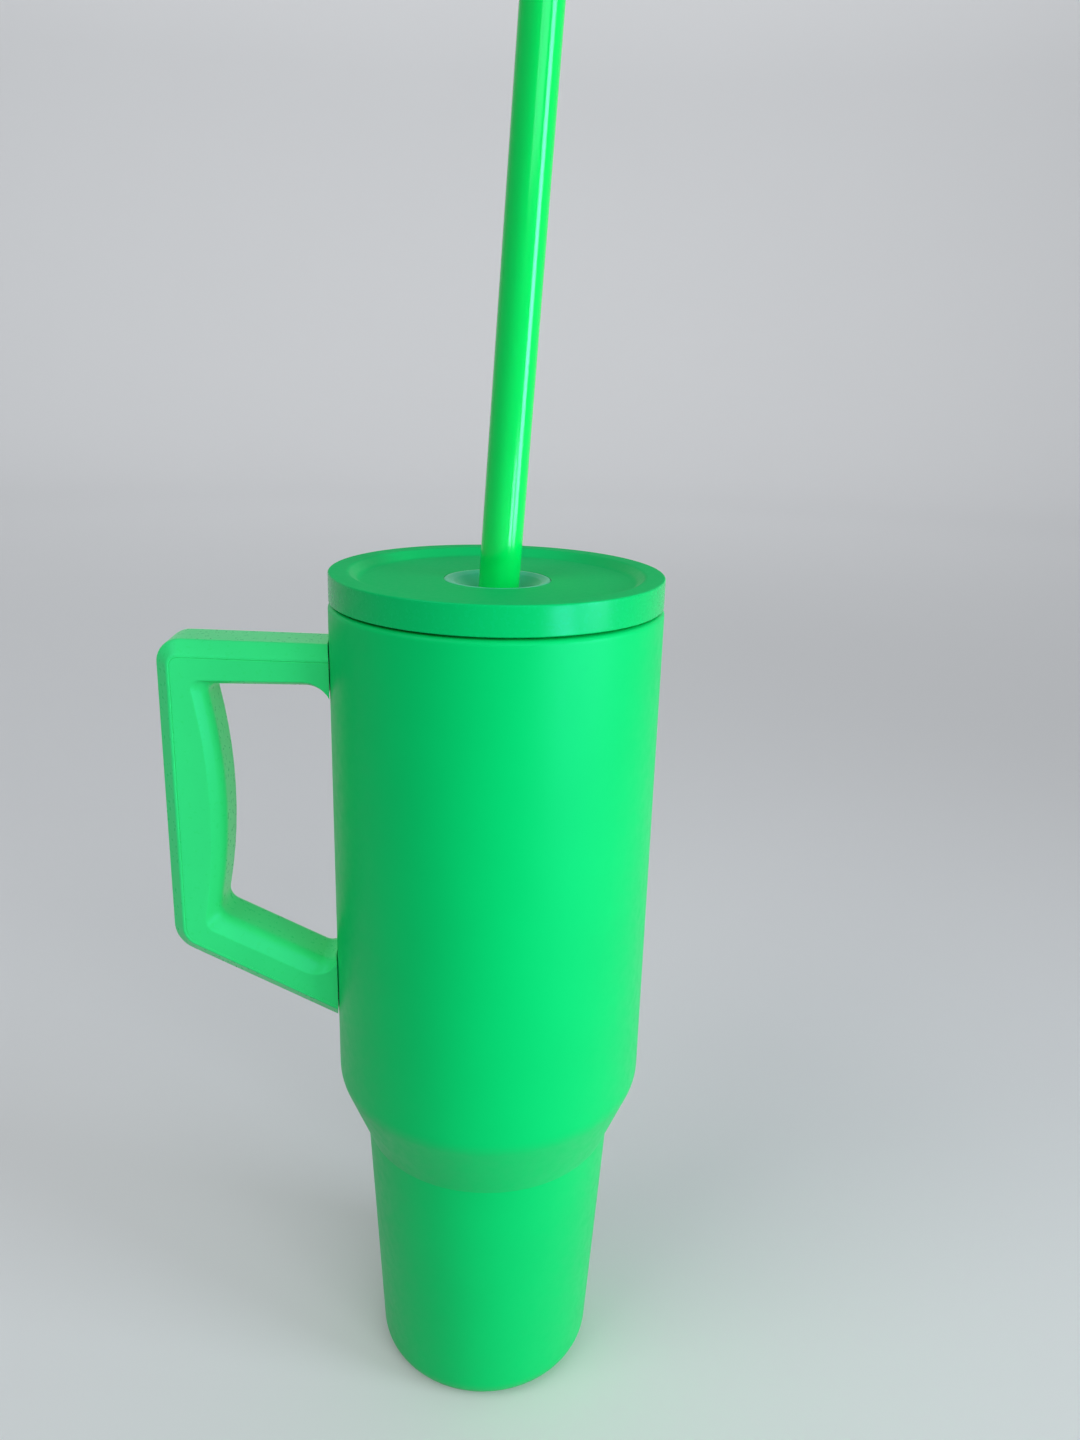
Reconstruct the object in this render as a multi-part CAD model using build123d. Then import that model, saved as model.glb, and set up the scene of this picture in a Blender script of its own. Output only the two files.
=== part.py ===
from build123d import *
import math
import os

# Insulated travel mug: a double-walled steel body with a stepped barrel, a screwed-on
# handle, a quick-thread lid and a straw that slides through a soft seal.
# Millimetres. The mug's axis is Z, its standing ring lies at Z = 0 and the handle points
# along -X.

# Body: outside of the shell
body_radius = 48.25
rim_height = 260.4
shoulder_height = 108.8
crease_radius = 39.5
crease_height = 87.1
base_radius = 34.8
shoulder_fillet = 13.0
crease_fillet = 0.8
base_fillet = 7.6
rim_round = 1.5

# Body: walls
shell_sheet = 0.6
liner_sheet = 0.5
vacuum_gap = 3.15
liner_floor = 10.0
liner_seam_rise = 9.0
liner_floor_fillet = 6.0

# Base
base_opening_radius = 25.0
base_panel_rise = 3.0
port_radius = 4.2
port_rise = 1.2
port_hole_radius = 1.2
pad_clearance = 0.2
pad_edge_round = 0.4
getter_radius = 5.5
getter_thickness = 1.5
clip_sheet = 0.4
clip_width = 6.0
clip_foot = 4.0

# Lid
lid_inset = 0.25
lid_gap = 0.8
lid_height = 8.3
lid_wall = 2.0
lid_edge_round = 0.5
land_width = 5.6
land_round = 1.2
land_blend_width = 3.0
lid_dish = 2.3
dish_round = 3.0
plug_wall = 2.4
plug_clearance = 1.9
plug_lead_in = 1.1
plug_edge_round = 1.0
plug_floor_round = 1.5
seat_clearance = 0.1
seat_width = 1.8
stop_flange = 2.0
chimney_clearance = 0.4
gasket_height = 3.4
gasket_drop = 0.3
gasket_thickness = 2.7
gasket_lip = 1.0
seal_fit = 0.06

# Quick thread between the lid and the mouth
thread_starts = 3
thread_lead = 12.0
thread_wrap = 130.0
thread_root_width = 2.0
thread_crest_width = 1.0
thread_ridge = 1.3
thread_wall_clearance = 0.5
thread_drop = 10.9

# Straw and its seal
straw_radius = 5.85
straw_wall = 0.85
straw_length = 316.0
straw_rise = 157.0
straw_lean = 3.2
straw_offset = 0.5
straw_lip_round = 0.35
straw_fit = 0.05
seal_neck_radius = 13.0
seal_flange_width = 2.3
seal_flange = 1.2
seal_flange_round = 0.3
seal_bead = 0.8
seal_bead_height = 1.2
seal_bead_round = 0.4
seal_skin = 1.3
seal_depth = 9.0
seal_collar_height = 3.0
seal_collar_wall = 2.3
seal_collar_round = 0.5
funnel_flare = 1.0
funnel_foot = 1.2
moulding_clearance = 0.1

# Handle: outside
handle_width = 20.8
handle_top_reach = 48.6
handle_low_reach = 49.1
handle_drop = 12.1
handle_height = 95.6
top_arm_rise = 1.0
lower_arm_slope = 27.7
handle_top_fillet = 7.0
handle_low_fillet = 9.5
handle_chamfer = 3.8
wall_gap = 0.3

# Handle: finger opening
top_arm_thickness = 13.1
grip_thickness = 13.7
low_corner_thickness = 9.7
opening_slope = 26.9
opening_depth_in_wall = 1.65
grip_bulge = 3.6
opening_fillets = (8.0, 3.0, 4.5, 4.2)
bevel_depth = 3.0
bevel_top = 1.8
bevel_grip = 4.0
bevel_low = 5.5
bevel_fillets = (8.8, 2.6, 4.0, 7.5)

# Handle: inside
seam_depth = 4.6
cover_wall = 2.6
handle_skin = 2.8
side_wall = 3.4
rib_height = 1.8
rib_width = 1.3
rib_clearance = 0.1

# Handle fixings
screw_reach = 14.5
screw_radius = 1.5
screw_length = 5.0
screw_head_radius = 2.8
screw_head_height = 1.9
screw_cross_width = 0.8
screw_cross_depth = 1.1
screw_clearance = 0.25
head_clearance = 0.5
cap_thickness = 0.6
cap_clearance = 0.1
cap_edge_round = 0.25
boss_seat = 1.4
boss_length = 11.0
boss_root = 0.5
bracket_sheet = 1.5
bracket_side_clearance = 0.4
bracket_beyond_screw = 7.0
flange_sheet = 1.2
flange_clearance = 1.3
nut_spigot_radius = 2.1
nut_radius = 3.0
nut_height = 2.0

# Heights and radii that follow from the values above
liner_outside_depth = shell_sheet + vacuum_gap
liner_inside_depth = liner_outside_depth + liner_sheet
mouth_radius = body_radius - liner_inside_depth
lid_radius = body_radius - lid_inset
lid_bottom = rim_height + lid_gap
lid_top_height = lid_bottom + lid_height
lid_floor = lid_top_height - lid_dish
lid_ceiling = lid_floor - lid_wall
thread_pitch = thread_lead / thread_starts
lid_thread_drop = thread_drop + thread_pitch / 2
plug_radius = mouth_radius - plug_clearance
plug_bottom = rim_height - lid_thread_drop - thread_root_width / 2 - plug_lead_in
seal_radius = seal_neck_radius + seal_flange_width
chimney_radius = seal_neck_radius + seal_bead + chimney_clearance
opening_reach = handle_top_reach - grip_thickness
opening_height = handle_height - top_arm_thickness - low_corner_thickness
cavity_width = handle_width - 2 * side_wall
rib_outer_width = cavity_width - 2 * rib_clearance
rib_inner_width = rib_outer_width - 2 * rib_width
bracket_width = rib_inner_width - 2 * bracket_side_clearance
head_recess = screw_head_height + cap_thickness + cap_clearance
tab_depth = head_recess + boss_seat
flange_height = top_arm_thickness - top_arm_rise - cover_wall - tab_depth - flange_clearance
cut_margin = 5.0


def inset(points, distance):
    """Points of an open line of (x, z), each moved to the line's left by a distance."""
    stretches = [Vector(*end) - Vector(*start) for start, end in zip(points, points[1:])]
    normals = [Vector(-run.Y, run.X).normalized() for run in stretches]
    before = [normals[0]] + normals
    after = normals + [normals[-1]]
    moved = []
    for point, first, second in zip(points, before, after):
        shift = (first + second) * (distance / (1 + first.dot(second)))
        moved.append((point[0] + shift.X, point[1] + shift.Y))
    return moved


def at_height(lower, upper, height):
    """The point at a height on the straight line through two points."""
    share = (height - lower[1]) / (upper[1] - lower[1])
    return (lower[0] + share * (upper[0] - lower[0]), height)


def at_reach(near, far, x):
    """The point at an x on the straight line through two points."""
    share = (x - near[0]) / (far[0] - near[0])
    return (x, near[1] + share * (far[1] - near[1]))


def section(corners):
    """A face in the XZ plane from corners of (x, z) or (x, z, fillet radius)."""
    radii = [corner[2] if len(corner) > 2 else 0 for corner in corners]
    outline = FilletPolyline(*[corner[:2] for corner in corners], radius=radii, close=True)
    return Plane.XZ * make_face(outline)


def turned(corners):
    """A solid of revolution about the mug's axis, from corners of (radius, height)."""
    return revolve(section(corners), Axis.Z)


def slab(corners, width):
    """A plate of an XZ outline, centred on the handle's middle plane."""
    return extrude(section(corners), amount=width / 2, both=True)


# ---------------------------------------------------------------- body walls


def wall_layer(depth, floor):
    """Corners of the body's wall at a depth under its outer face, from the floor up."""
    outer = [
        (base_radius, 0),
        (crease_radius, crease_height),
        (body_radius, shoulder_height),
        (body_radius, rim_height),
    ]
    base, crease, shoulder, rim = inset(outer, depth)
    foot = at_height(base, crease, floor)
    return foot, crease, shoulder, rim


def make_outer_shell():
    foot, crease, shoulder, _ = wall_layer(0, 0)
    inner_foot, inner_crease, inner_shoulder, inner_rim = wall_layer(shell_sheet, shell_sheet)
    land_inner = body_radius - liner_outside_depth
    land_under = rim_height - shell_sheet
    return turned([
        (base_opening_radius, 0),
        (*foot, base_fillet),
        (*crease, crease_fillet),
        (*shoulder, shoulder_fillet),
        (body_radius, rim_height, rim_round),
        (land_inner, rim_height),
        (land_inner, land_under),
        (inner_rim[0], land_under, rim_round - shell_sheet),
        (*inner_shoulder, shoulder_fillet - shell_sheet),
        (*inner_crease, crease_fillet + shell_sheet),
        (*inner_foot, base_fillet - shell_sheet),
        (base_opening_radius, shell_sheet),
    ])


def liner_seam():
    return liner_floor + liner_seam_rise


def make_inner_liner():
    foot, crease, shoulder, rim = wall_layer(liner_outside_depth, liner_seam())
    inner_foot, inner_crease, inner_shoulder, inner_rim = wall_layer(liner_inside_depth, liner_seam())
    tube = turned([
        foot,
        (*crease, crease_fillet + liner_outside_depth),
        (*shoulder, shoulder_fillet - liner_outside_depth),
        (rim[0], rim_height),
        (inner_rim[0], rim_height),
        (*inner_shoulder, shoulder_fillet - liner_inside_depth),
        (*inner_crease, crease_fillet + liner_inside_depth),
        inner_foot,
    ])
    crest_radius = mouth_radius - thread_ridge
    return tube + thread_ridges(mouth_radius, crest_radius, liner_sheet / 2, rim_height - thread_drop)


def make_liner_bottom():
    under = liner_floor - liner_sheet
    foot, crease, _, _ = wall_layer(liner_outside_depth, under)
    inner_foot, inner_crease, _, _ = wall_layer(liner_inside_depth, liner_floor)
    return turned([
        (0, under),
        (*foot, liner_floor_fillet + liner_sheet),
        at_height(foot, crease, liner_seam()),
        at_height(inner_foot, inner_crease, liner_seam()),
        (*inner_foot, liner_floor_fillet),
        (0, liner_floor),
    ])


def thread_ridges(root_radius, crest_radius, sink, height):
    """The quick thread's ridges, one for each start, sunk a little into their wall."""
    outward = 1 if crest_radius > root_radius else -1
    root = root_radius - outward * sink
    profile = section([
        (root, -thread_root_width / 2),
        (crest_radius, -thread_crest_width / 2),
        (crest_radius, thread_crest_width / 2),
        (root, thread_root_width / 2),
    ])
    path = Helix(thread_lead, thread_lead * thread_wrap / 360, root_radius)
    ridge = Pos(0, 0, height) * sweep(profile, path=path, is_frenet=True)
    return [Rot(0, 0, start * 360 / thread_starts) * ridge for start in range(thread_starts)]


# ---------------------------------------------------------------- base


def make_shell_base():
    """The pressed disc that closes the shell, with the vacuum port dished up in its middle."""
    under = base_panel_rise - shell_sheet
    skirt_inner = base_opening_radius - shell_sheet
    return turned([
        (port_hole_radius, under + port_rise),
        (port_radius, under + port_rise),
        (port_radius, under),
        (skirt_inner, under),
        (skirt_inner, 0),
        (base_opening_radius, 0),
        (base_opening_radius, base_panel_rise, shell_sheet),
        (port_radius + shell_sheet, base_panel_rise),
        (port_radius + shell_sheet, base_panel_rise + port_rise),
        (port_hole_radius, base_panel_rise + port_rise),
    ])


def make_vacuum_plug():
    """The bead that seals the vacuum port and fills its dish."""
    under = base_panel_rise - shell_sheet
    return turned([
        (0, under),
        (port_radius, under),
        (port_radius, under + port_rise),
        (port_hole_radius, under + port_rise),
        (port_hole_radius, base_panel_rise + port_rise),
        (0, base_panel_rise + port_rise),
    ])


def make_base_pad():
    """The soft pad glued into the base, level with the standing ring."""
    pad_radius = base_opening_radius - shell_sheet - pad_clearance
    return turned([
        (0, 0),
        (pad_radius, 0, pad_edge_round),
        (pad_radius, base_panel_rise - shell_sheet),
        (0, base_panel_rise - shell_sheet),
    ])


def make_getter():
    """The pellet that keeps the vacuum, held under the liner's bottom."""
    top = liner_floor - liner_sheet
    bottom = top - getter_thickness
    return turned([(0, bottom), (getter_radius, bottom), (getter_radius, top), (0, top)])


def make_getter_clip():
    """A bent strap whose feet are welded under the liner's bottom, on both sides of the pellet."""
    top = liner_floor - liner_sheet
    inner = getter_radius + pad_clearance
    outer = inner + clip_sheet
    bridge_top = top - getter_thickness
    strap = [
        (outer + clip_foot, top),
        (inner, top),
        (inner, bridge_top),
        (-inner, bridge_top),
        (-inner, top),
        (-outer - clip_foot, top),
        (-outer - clip_foot, top - clip_sheet),
        (-outer, top - clip_sheet),
        (-outer, bridge_top - clip_sheet),
        (outer, bridge_top - clip_sheet),
        (outer, top - clip_sheet),
        (outer + clip_foot, top - clip_sheet),
    ]
    return slab(strap, clip_width)


# ---------------------------------------------------------------- lid


def make_lid_top():
    """The lid's visible cover: a skirt, a raised rim and a dished floor with the seal's seat."""
    land_inner = lid_radius - land_width
    floor_outer = land_inner - land_blend_width
    skirt_inner = lid_radius - lid_wall
    land_under = lid_top_height - lid_wall
    seat_radius = seal_radius + moulding_clearance
    neck_hole = seal_neck_radius + moulding_clearance
    return turned([
        (lid_radius, lid_bottom),
        (lid_radius, lid_top_height, lid_edge_round),
        (land_inner, lid_top_height, land_round),
        (floor_outer, lid_floor, dish_round),
        (seat_radius, lid_floor),
        (seat_radius, lid_floor - seal_flange),
        (neck_hole, lid_floor - seal_flange),
        (neck_hole, lid_ceiling),
        (floor_outer - lid_wall / 2, lid_ceiling),
        (land_inner - lid_wall / 2, land_under),
        (skirt_inner, land_under),
        (skirt_inner, lid_bottom),
    ])


def make_lid_base():
    """The threaded plug, with a stop flange over the rim and a chimney round the straw."""
    skirt_inner = lid_radius - lid_wall
    plug_inner = plug_radius - plug_wall
    chimney_outer = chimney_radius + lid_wall
    groove_radius = mouth_radius - gasket_thickness
    groove_top = rim_height - gasket_drop
    groove_bottom = groove_top - gasket_height
    stop_height = rim_height + seat_clearance
    flange_bottom = lid_bottom + seat_clearance
    flange_top = flange_bottom + stop_flange
    plug = turned([
        (chimney_radius, plug_bottom),
        (plug_radius, plug_bottom, plug_edge_round),
        (plug_radius, groove_bottom),
        (groove_radius, groove_bottom),
        (groove_radius, groove_top),
        (plug_radius, groove_top),
        (plug_radius, stop_height),
        (mouth_radius + seat_width, stop_height),
        (mouth_radius + seat_width, flange_bottom),
        (skirt_inner, flange_bottom),
        (skirt_inner, flange_top),
        (plug_inner, flange_top),
        (plug_inner, plug_bottom + lid_wall, plug_floor_round),
        (chimney_outer, plug_bottom + lid_wall, plug_floor_round),
        (chimney_outer, lid_ceiling),
        (chimney_radius, lid_ceiling),
    ])
    crest_radius = mouth_radius - thread_wall_clearance
    return plug + thread_ridges(plug_radius, crest_radius, plug_wall / 4, rim_height - lid_thread_drop)


def make_lid_gasket():
    """The ring that seals the mouth, with two lips against the liner."""
    inner = mouth_radius - gasket_thickness
    lip = mouth_radius - seal_fit
    trough = lip - gasket_lip
    top = rim_height - gasket_drop
    bottom = top - gasket_height
    lip_width = gasket_height / 4
    return turned([
        (inner, bottom),
        (trough, bottom),
        (lip, bottom + lip_width),
        (trough, bottom + 2 * lip_width),
        (lip, bottom + 3 * lip_width),
        (trough, top),
        (inner, top),
    ])


# ---------------------------------------------------------------- straw and seal


def straw_frame():
    """The straw's own frame, where its leaning axis crosses the lid's dished floor."""
    return Pos(straw_offset, 0, lid_floor) * Rot(0, straw_lean, 0)


def make_straw_seal():
    """The soft seal: a flush flange, a snap-in neck, a funnel and a collar on the straw."""
    flange_under = lid_floor - seal_flange
    bead_radius = seal_neck_radius + seal_bead
    bead_bottom = lid_ceiling - seal_bead_height
    collar_bottom = lid_floor - seal_depth
    collar_top = collar_bottom + seal_collar_height
    bore = straw_radius + straw_fit
    collar_radius = bore + seal_collar_wall
    funnel_top = seal_neck_radius - seal_skin
    outside = turned([
        (0, lid_floor),
        (seal_radius, lid_floor, seal_flange_round),
        (seal_radius, flange_under),
        (seal_neck_radius, flange_under),
        (seal_neck_radius, lid_ceiling),
        (bead_radius, lid_ceiling),
        (bead_radius, bead_bottom, seal_bead_round),
        (seal_neck_radius, bead_bottom),
        (collar_radius, collar_top),
        (collar_radius, collar_bottom, seal_collar_round),
        (0, collar_bottom),
    ])
    funnel = turned([
        (0, lid_floor + cut_margin),
        (funnel_top + funnel_flare, lid_floor + cut_margin),
        (funnel_top + funnel_flare, lid_floor),
        (funnel_top, lid_floor - seal_skin),
        (bore + funnel_foot, collar_top),
        (0, collar_top),
    ])
    hole = straw_frame() * Cylinder(bore, 4 * seal_depth)
    return outside - funnel - hole


def make_straw():
    tube = Cylinder(straw_radius, straw_length) - Cylinder(straw_radius - straw_wall, straw_length)
    tube = fillet(tube.edges().filter_by(GeomType.CIRCLE), straw_lip_round)
    middle = straw_rise - straw_length / 2
    return straw_frame() * Pos(0, 0, middle) * tube


# ---------------------------------------------------------------- handle outlines


def handle_outline():
    """Corners of the handle's outside, from the wall over the top and back to the wall."""
    wall_x = -(body_radius - cut_margin)
    top_x = -(body_radius + handle_top_reach)
    low_x = -(body_radius + handle_low_reach)
    top_at_wall = rim_height - handle_drop
    top = top_at_wall + top_arm_rise
    low = top - handle_height
    low_at_wall = low + (low_x - wall_x) * math.tan(math.radians(lower_arm_slope))
    return [(wall_x, top_at_wall), (top_x, top), (low_x, low), (wall_x, low_at_wall)]


def handle_region(depth):
    """The handle's outline at a depth under its outside, as corners with fillets."""
    wall_top, top, low, wall_low = inset(handle_outline(), depth)
    top_fillet = max(handle_top_fillet - depth, 1.0)
    low_fillet = max(handle_low_fillet - depth, 1.0)
    return [wall_top, (*top, top_fillet), (*low, low_fillet), wall_low]


def opening_corners(grow_top, grow_grip, grow_low):
    """Corners of the finger opening, grown into the top arm, the grip and the lower arm."""
    wall_x = -(body_radius - opening_depth_in_wall)
    grip_x = -(body_radius + opening_reach)
    top = rim_height - handle_drop + top_arm_rise - top_arm_thickness
    low = top - opening_height
    slope = math.tan(math.radians(opening_slope))
    grown_x = grip_x - grow_grip
    grown_low = low - grow_low
    grown_top = top + grow_top
    return [
        (wall_x, grown_top),
        (grown_x, grown_top),
        (grown_x, grown_low + slope * grow_grip),
        (wall_x, grown_low - slope * (wall_x - grip_x)),
    ]


def opening_face(grow_top, grow_grip, grow_low, fillets):
    """The finger opening as a face whose grip side bulges towards the mug."""
    corners = opening_corners(grow_top, grow_grip, grow_low)
    wall_top, grip_top, grip_low, wall_low = corners
    bulge = (grip_top[0] + grip_bulge, (grip_top[1] + grip_low[1]) / 2)
    outline = [
        Line(wall_top, grip_top),
        ThreePointArc(grip_top, bulge, grip_low),
        Line(grip_low, wall_low),
        Line(wall_low, wall_top),
    ]
    face = make_face(outline)
    for corner, radius in zip(corners, fillets):
        face = fillet(face.vertices().sort_by_distance(corner)[0], radius)
    return Plane.XZ * face


def wall_cutter():
    """Clears the handle from the shell by the gap that is seen at its two ends."""
    height = 2 * rim_height
    return Pos(0, 0, height / 2 - cut_margin) * Cylinder(body_radius + wall_gap, height)


def opening_cutter():
    """The finger opening through the handle, with its bevels on both sides."""
    inner = opening_face(0, 0, 0, opening_fillets)
    crest = opening_face(bevel_top, bevel_grip, bevel_low, bevel_fillets)
    inner_half = handle_width / 2 - bevel_depth
    cutter = extrude(inner, amount=inner_half, both=True)
    for side in (-1, 1):
        near = Pos(0, side * inner_half, 0) * inner
        far = Pos(0, side * handle_width / 2, 0) * crest
        cutter += loft([near, far], ruled=True)
        cutter += extrude(far, amount=cut_margin, dir=(0, side, 0))
    return cutter


def handle_block():
    """The handle's full outside, before it is split, with its chamfered outer edges."""
    block = slab(handle_region(0), handle_width)
    sides = [face for face in block.faces() if abs(face.normal_at().Y) > 0.99]
    rims = [edge for face in sides for edge in face.edges()]
    wall_x = handle_outline()[0][0]
    rims = [edge for edge in rims if edge.center().X < wall_x - 0.01]
    return chamfer(rims, handle_chamfer)


# ---------------------------------------------------------------- handle fixings


def face_frame(near, far):
    """A frame on an arm's face at the screw: X along the arm, Z into it."""
    x, z = at_reach(near, far, -(body_radius + screw_reach))
    along = Vector(far[0] - near[0], 0, far[1] - near[1]).normalized()
    into = Vector(along.Z, 0, -along.X)
    return Plane(origin=(x, 0, z), x_dir=along, z_dir=into)


def upper_frame():
    """On the underside of the top arm."""
    wall_top, grip_top, _, _ = opening_corners(0, 0, 0)
    return face_frame(wall_top, grip_top)


def lower_frame():
    """On the underside of the lower arm."""
    _, _, low, wall_low = handle_outline()
    return face_frame(wall_low, low)


def stacked(radius, bottom, top):
    """A round solid on a screw's axis between two depths."""
    return Pos(0, 0, (bottom + top) / 2) * Cylinder(radius, top - bottom)


def boss(width, floor, clearance=0):
    """The block that carries a screw head and backs the bracket's tab, or its room in a rib."""
    height = tab_depth + clearance - floor
    return Pos(0, 0, floor + height / 2) * Box(boss_length + 2 * clearance, width, height)


def screw_cuts():
    """The head's recess and the shank's clearance hole."""
    recess = stacked(screw_head_radius + head_clearance, -cut_margin, head_recess)
    hole = stacked(screw_radius + screw_clearance, head_recess - 1, tab_depth + 1)
    return recess + hole


def make_bracket(frame):
    """A bent steel tab that reaches into an arm, with a flange welded to the shell."""
    reach = screw_reach + body_radius
    tab_length = reach + bracket_beyond_screw
    tab_middle = tab_depth + bracket_sheet / 2
    tab = Box(tab_length, bracket_width, bracket_sheet)
    tab = Pos(bracket_beyond_screw - tab_length / 2, 0, tab_middle) * tab
    tab -= stacked(nut_spigot_radius, 0, 2 * tab_depth)
    tab = frame * tab
    slope = frame.x_dir.Z / frame.x_dir.X
    tab_root = frame.origin.Z + slope * screw_reach + tab_depth / frame.z_dir.Z
    ring = Cylinder(body_radius + flange_sheet, flange_height) - Cylinder(body_radius, flange_height)
    window = Pos(-body_radius, 0, 0) * Box(body_radius, bracket_width, flange_height)
    flange = Pos(0, 0, tab_root + flange_height / 2) * (ring & window)
    core = Pos(0, 0, rim_height / 2) * Cylinder(body_radius, 2 * rim_height)
    return tab + flange - core


def make_screw():
    """A short pan-head screw with a cross recess."""
    seat = head_recess
    head = stacked(screw_head_radius, seat - screw_head_height, seat)
    top_rim = head.edges().filter_by(GeomType.CIRCLE).sort_by(Axis.Z)[0]
    head = fillet(top_rim, screw_head_height / 2)
    shank = stacked(screw_radius, seat, seat + screw_length)
    cross_length = 1.2 * screw_head_radius
    cross = Box(cross_length, screw_cross_width, 2 * screw_cross_depth)
    cross += Box(screw_cross_width, cross_length, 2 * screw_cross_depth)
    return head + shank - Pos(0, 0, seat - screw_head_height) * cross


def make_nut():
    """A weld nut: a hexagon on the tab with a spigot in the tab's hole."""
    near = tab_depth
    far = near + bracket_sheet
    hexagon = Pos(0, 0, far) * extrude(RegularPolygon(nut_radius, 6), amount=nut_height)
    spigot = stacked(nut_spigot_radius, near, far)
    return hexagon + spigot - stacked(screw_radius, 0, 2 * far)


def make_screw_cap():
    """A soft cap pressed in over the screw's head."""
    radius = screw_head_radius + head_clearance - cap_clearance
    cap = stacked(radius, cap_clearance, head_recess - screw_head_height)
    rim = cap.edges().filter_by(GeomType.CIRCLE).sort_by(Axis.Z)[0]
    return fillet(rim, cap_edge_round)


def pair(shape):
    """The same fixing at both arms."""
    return Compound(children=[*(upper_frame() * shape).solids(), *(lower_frame() * shape).solids()])


# ---------------------------------------------------------------- handle pieces


def make_handle_body():
    """The grip's inner moulding: a channel round the finger opening, open to its cover."""
    body = handle_block() & slab(handle_region(seam_depth), 2 * handle_width)
    body -= opening_cutter()
    hollow = slab(handle_region(0), cavity_width)
    kept_face = opening_face(handle_skin, handle_skin, handle_skin, opening_fillets)
    kept = extrude(kept_face, amount=cavity_width, both=True)
    body -= hollow - kept
    body += upper_frame() * boss(cavity_width + 2 * boss_root, handle_skin / 2)
    return body - upper_frame() * screw_cuts() - wall_cutter()


def make_handle_cover():
    """The grip's outer moulding: a chamfered channel whose ribs enter the body's hollow."""
    cover = handle_block() - slab(handle_region(seam_depth), 2 * handle_width)
    cover -= slab(handle_region(cover_wall), cavity_width)
    ribs = slab(handle_region(cover_wall), rib_outer_width)
    ribs -= slab(handle_region(cover_wall), rib_inner_width)
    ribs -= upper_frame() * boss(cavity_width + 2 * boss_root, handle_skin, rib_clearance)
    cover += ribs - slab(handle_region(seam_depth + rib_height), rib_outer_width)
    cover += lower_frame() * boss(rib_outer_width, cover_wall / 2)
    return cover - lower_frame() * screw_cuts() - wall_cutter()


NODES = {
    "outer_shell": make_outer_shell,
    "inner_liner": make_inner_liner,
    "liner_bottom": make_liner_bottom,
    "shell_base": make_shell_base,
    "vacuum_plug": make_vacuum_plug,
    "base_pad": make_base_pad,
    "getter": make_getter,
    "getter_clip": make_getter_clip,
    "upper_bracket": lambda: make_bracket(upper_frame()),
    "lower_bracket": lambda: make_bracket(lower_frame()),
    "bracket_nuts": lambda: pair(make_nut()),
    "handle_body": make_handle_body,
    "handle_cover": make_handle_cover,
    "handle_screws": lambda: pair(make_screw()),
    "screw_caps": lambda: pair(make_screw_cap()),
    "lid_top": make_lid_top,
    "lid_base": make_lid_base,
    "lid_gasket": make_lid_gasket,
    "straw_seal": make_straw_seal,
    "straw": make_straw,
}

os.makedirs("parts", exist_ok=True)
for name, make in NODES.items():
    export_step(make(), f"parts/{name}.step")
    print("wrote", name)
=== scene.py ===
"""Looks for the insulated travel mug: finishes, finely rounded shells, floor, lamps and camera.

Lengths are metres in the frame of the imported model: the mug's axis is Z, its standing ring lies
at Z = 0, the handle points along -X and the straw leans towards +X.
"""

import logging
import math
from dataclasses import dataclass, field
from enum import Enum
from typing import Callable, Optional, Sequence

import bpy
from mathutils import Matrix, Vector


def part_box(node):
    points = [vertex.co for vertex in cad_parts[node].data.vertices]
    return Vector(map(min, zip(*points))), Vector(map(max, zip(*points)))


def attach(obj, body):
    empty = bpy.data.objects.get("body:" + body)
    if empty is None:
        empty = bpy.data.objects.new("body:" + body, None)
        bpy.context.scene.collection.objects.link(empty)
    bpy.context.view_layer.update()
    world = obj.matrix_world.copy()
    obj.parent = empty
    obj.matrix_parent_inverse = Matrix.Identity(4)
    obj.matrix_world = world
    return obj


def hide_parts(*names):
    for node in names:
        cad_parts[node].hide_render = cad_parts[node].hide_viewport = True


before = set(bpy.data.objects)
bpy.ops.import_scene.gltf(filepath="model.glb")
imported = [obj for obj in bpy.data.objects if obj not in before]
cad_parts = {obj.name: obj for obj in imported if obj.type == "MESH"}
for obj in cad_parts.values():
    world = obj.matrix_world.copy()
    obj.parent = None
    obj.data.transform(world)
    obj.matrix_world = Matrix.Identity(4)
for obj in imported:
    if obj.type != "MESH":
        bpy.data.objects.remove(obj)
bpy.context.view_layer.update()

LOG = logging.getLogger("travel_mug")

MM = 0.001
TURN = 2 * math.pi
SHARP_EDGE = math.radians(38)
ON_AXIS = 1e-7
NOISE_BAND = (0.3, 0.7)

Piece = bpy.types.Object
Socket = bpy.types.NodeSocket
Point = tuple[float, float]
Colour = tuple[float, float, float, float]
Displace = Callable[[float, float, float], float]

SEA_GLOSS: Colour = (0.15, 0.6, 1.0, 1.0)


# ---------------------------------------------------------------- outlines and meshes


def blend_corner(before: Vector, corner: Vector, after: Vector, reach: float, steps: int) -> list[Vector]:
    """Round one corner with a circular arc.

    Args:
        before: The point that the outline comes from.
        corner: The sharp corner.
        after: The point that the outline goes to.
        reach: How far from the corner the arc starts, along both sides.
        steps: How many chords the arc has.

    Returns:
        The arc's points, from its start to its end; a straight corner gives points in line.
    """
    back = (before - corner).normalized()
    ahead = (after - corner).normalized()
    turn = math.pi - back.angle(ahead)
    weight = math.cos(turn / 2)
    start = corner + back * reach
    end = corner + ahead * reach
    points = []
    for step in range(steps + 1):
        t = step / steps
        a, b, c = (1 - t) ** 2, 2 * weight * t * (1 - t), t * t
        points.append((start * a + corner * b + end * c) / (a + b + c))
    return points


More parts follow.
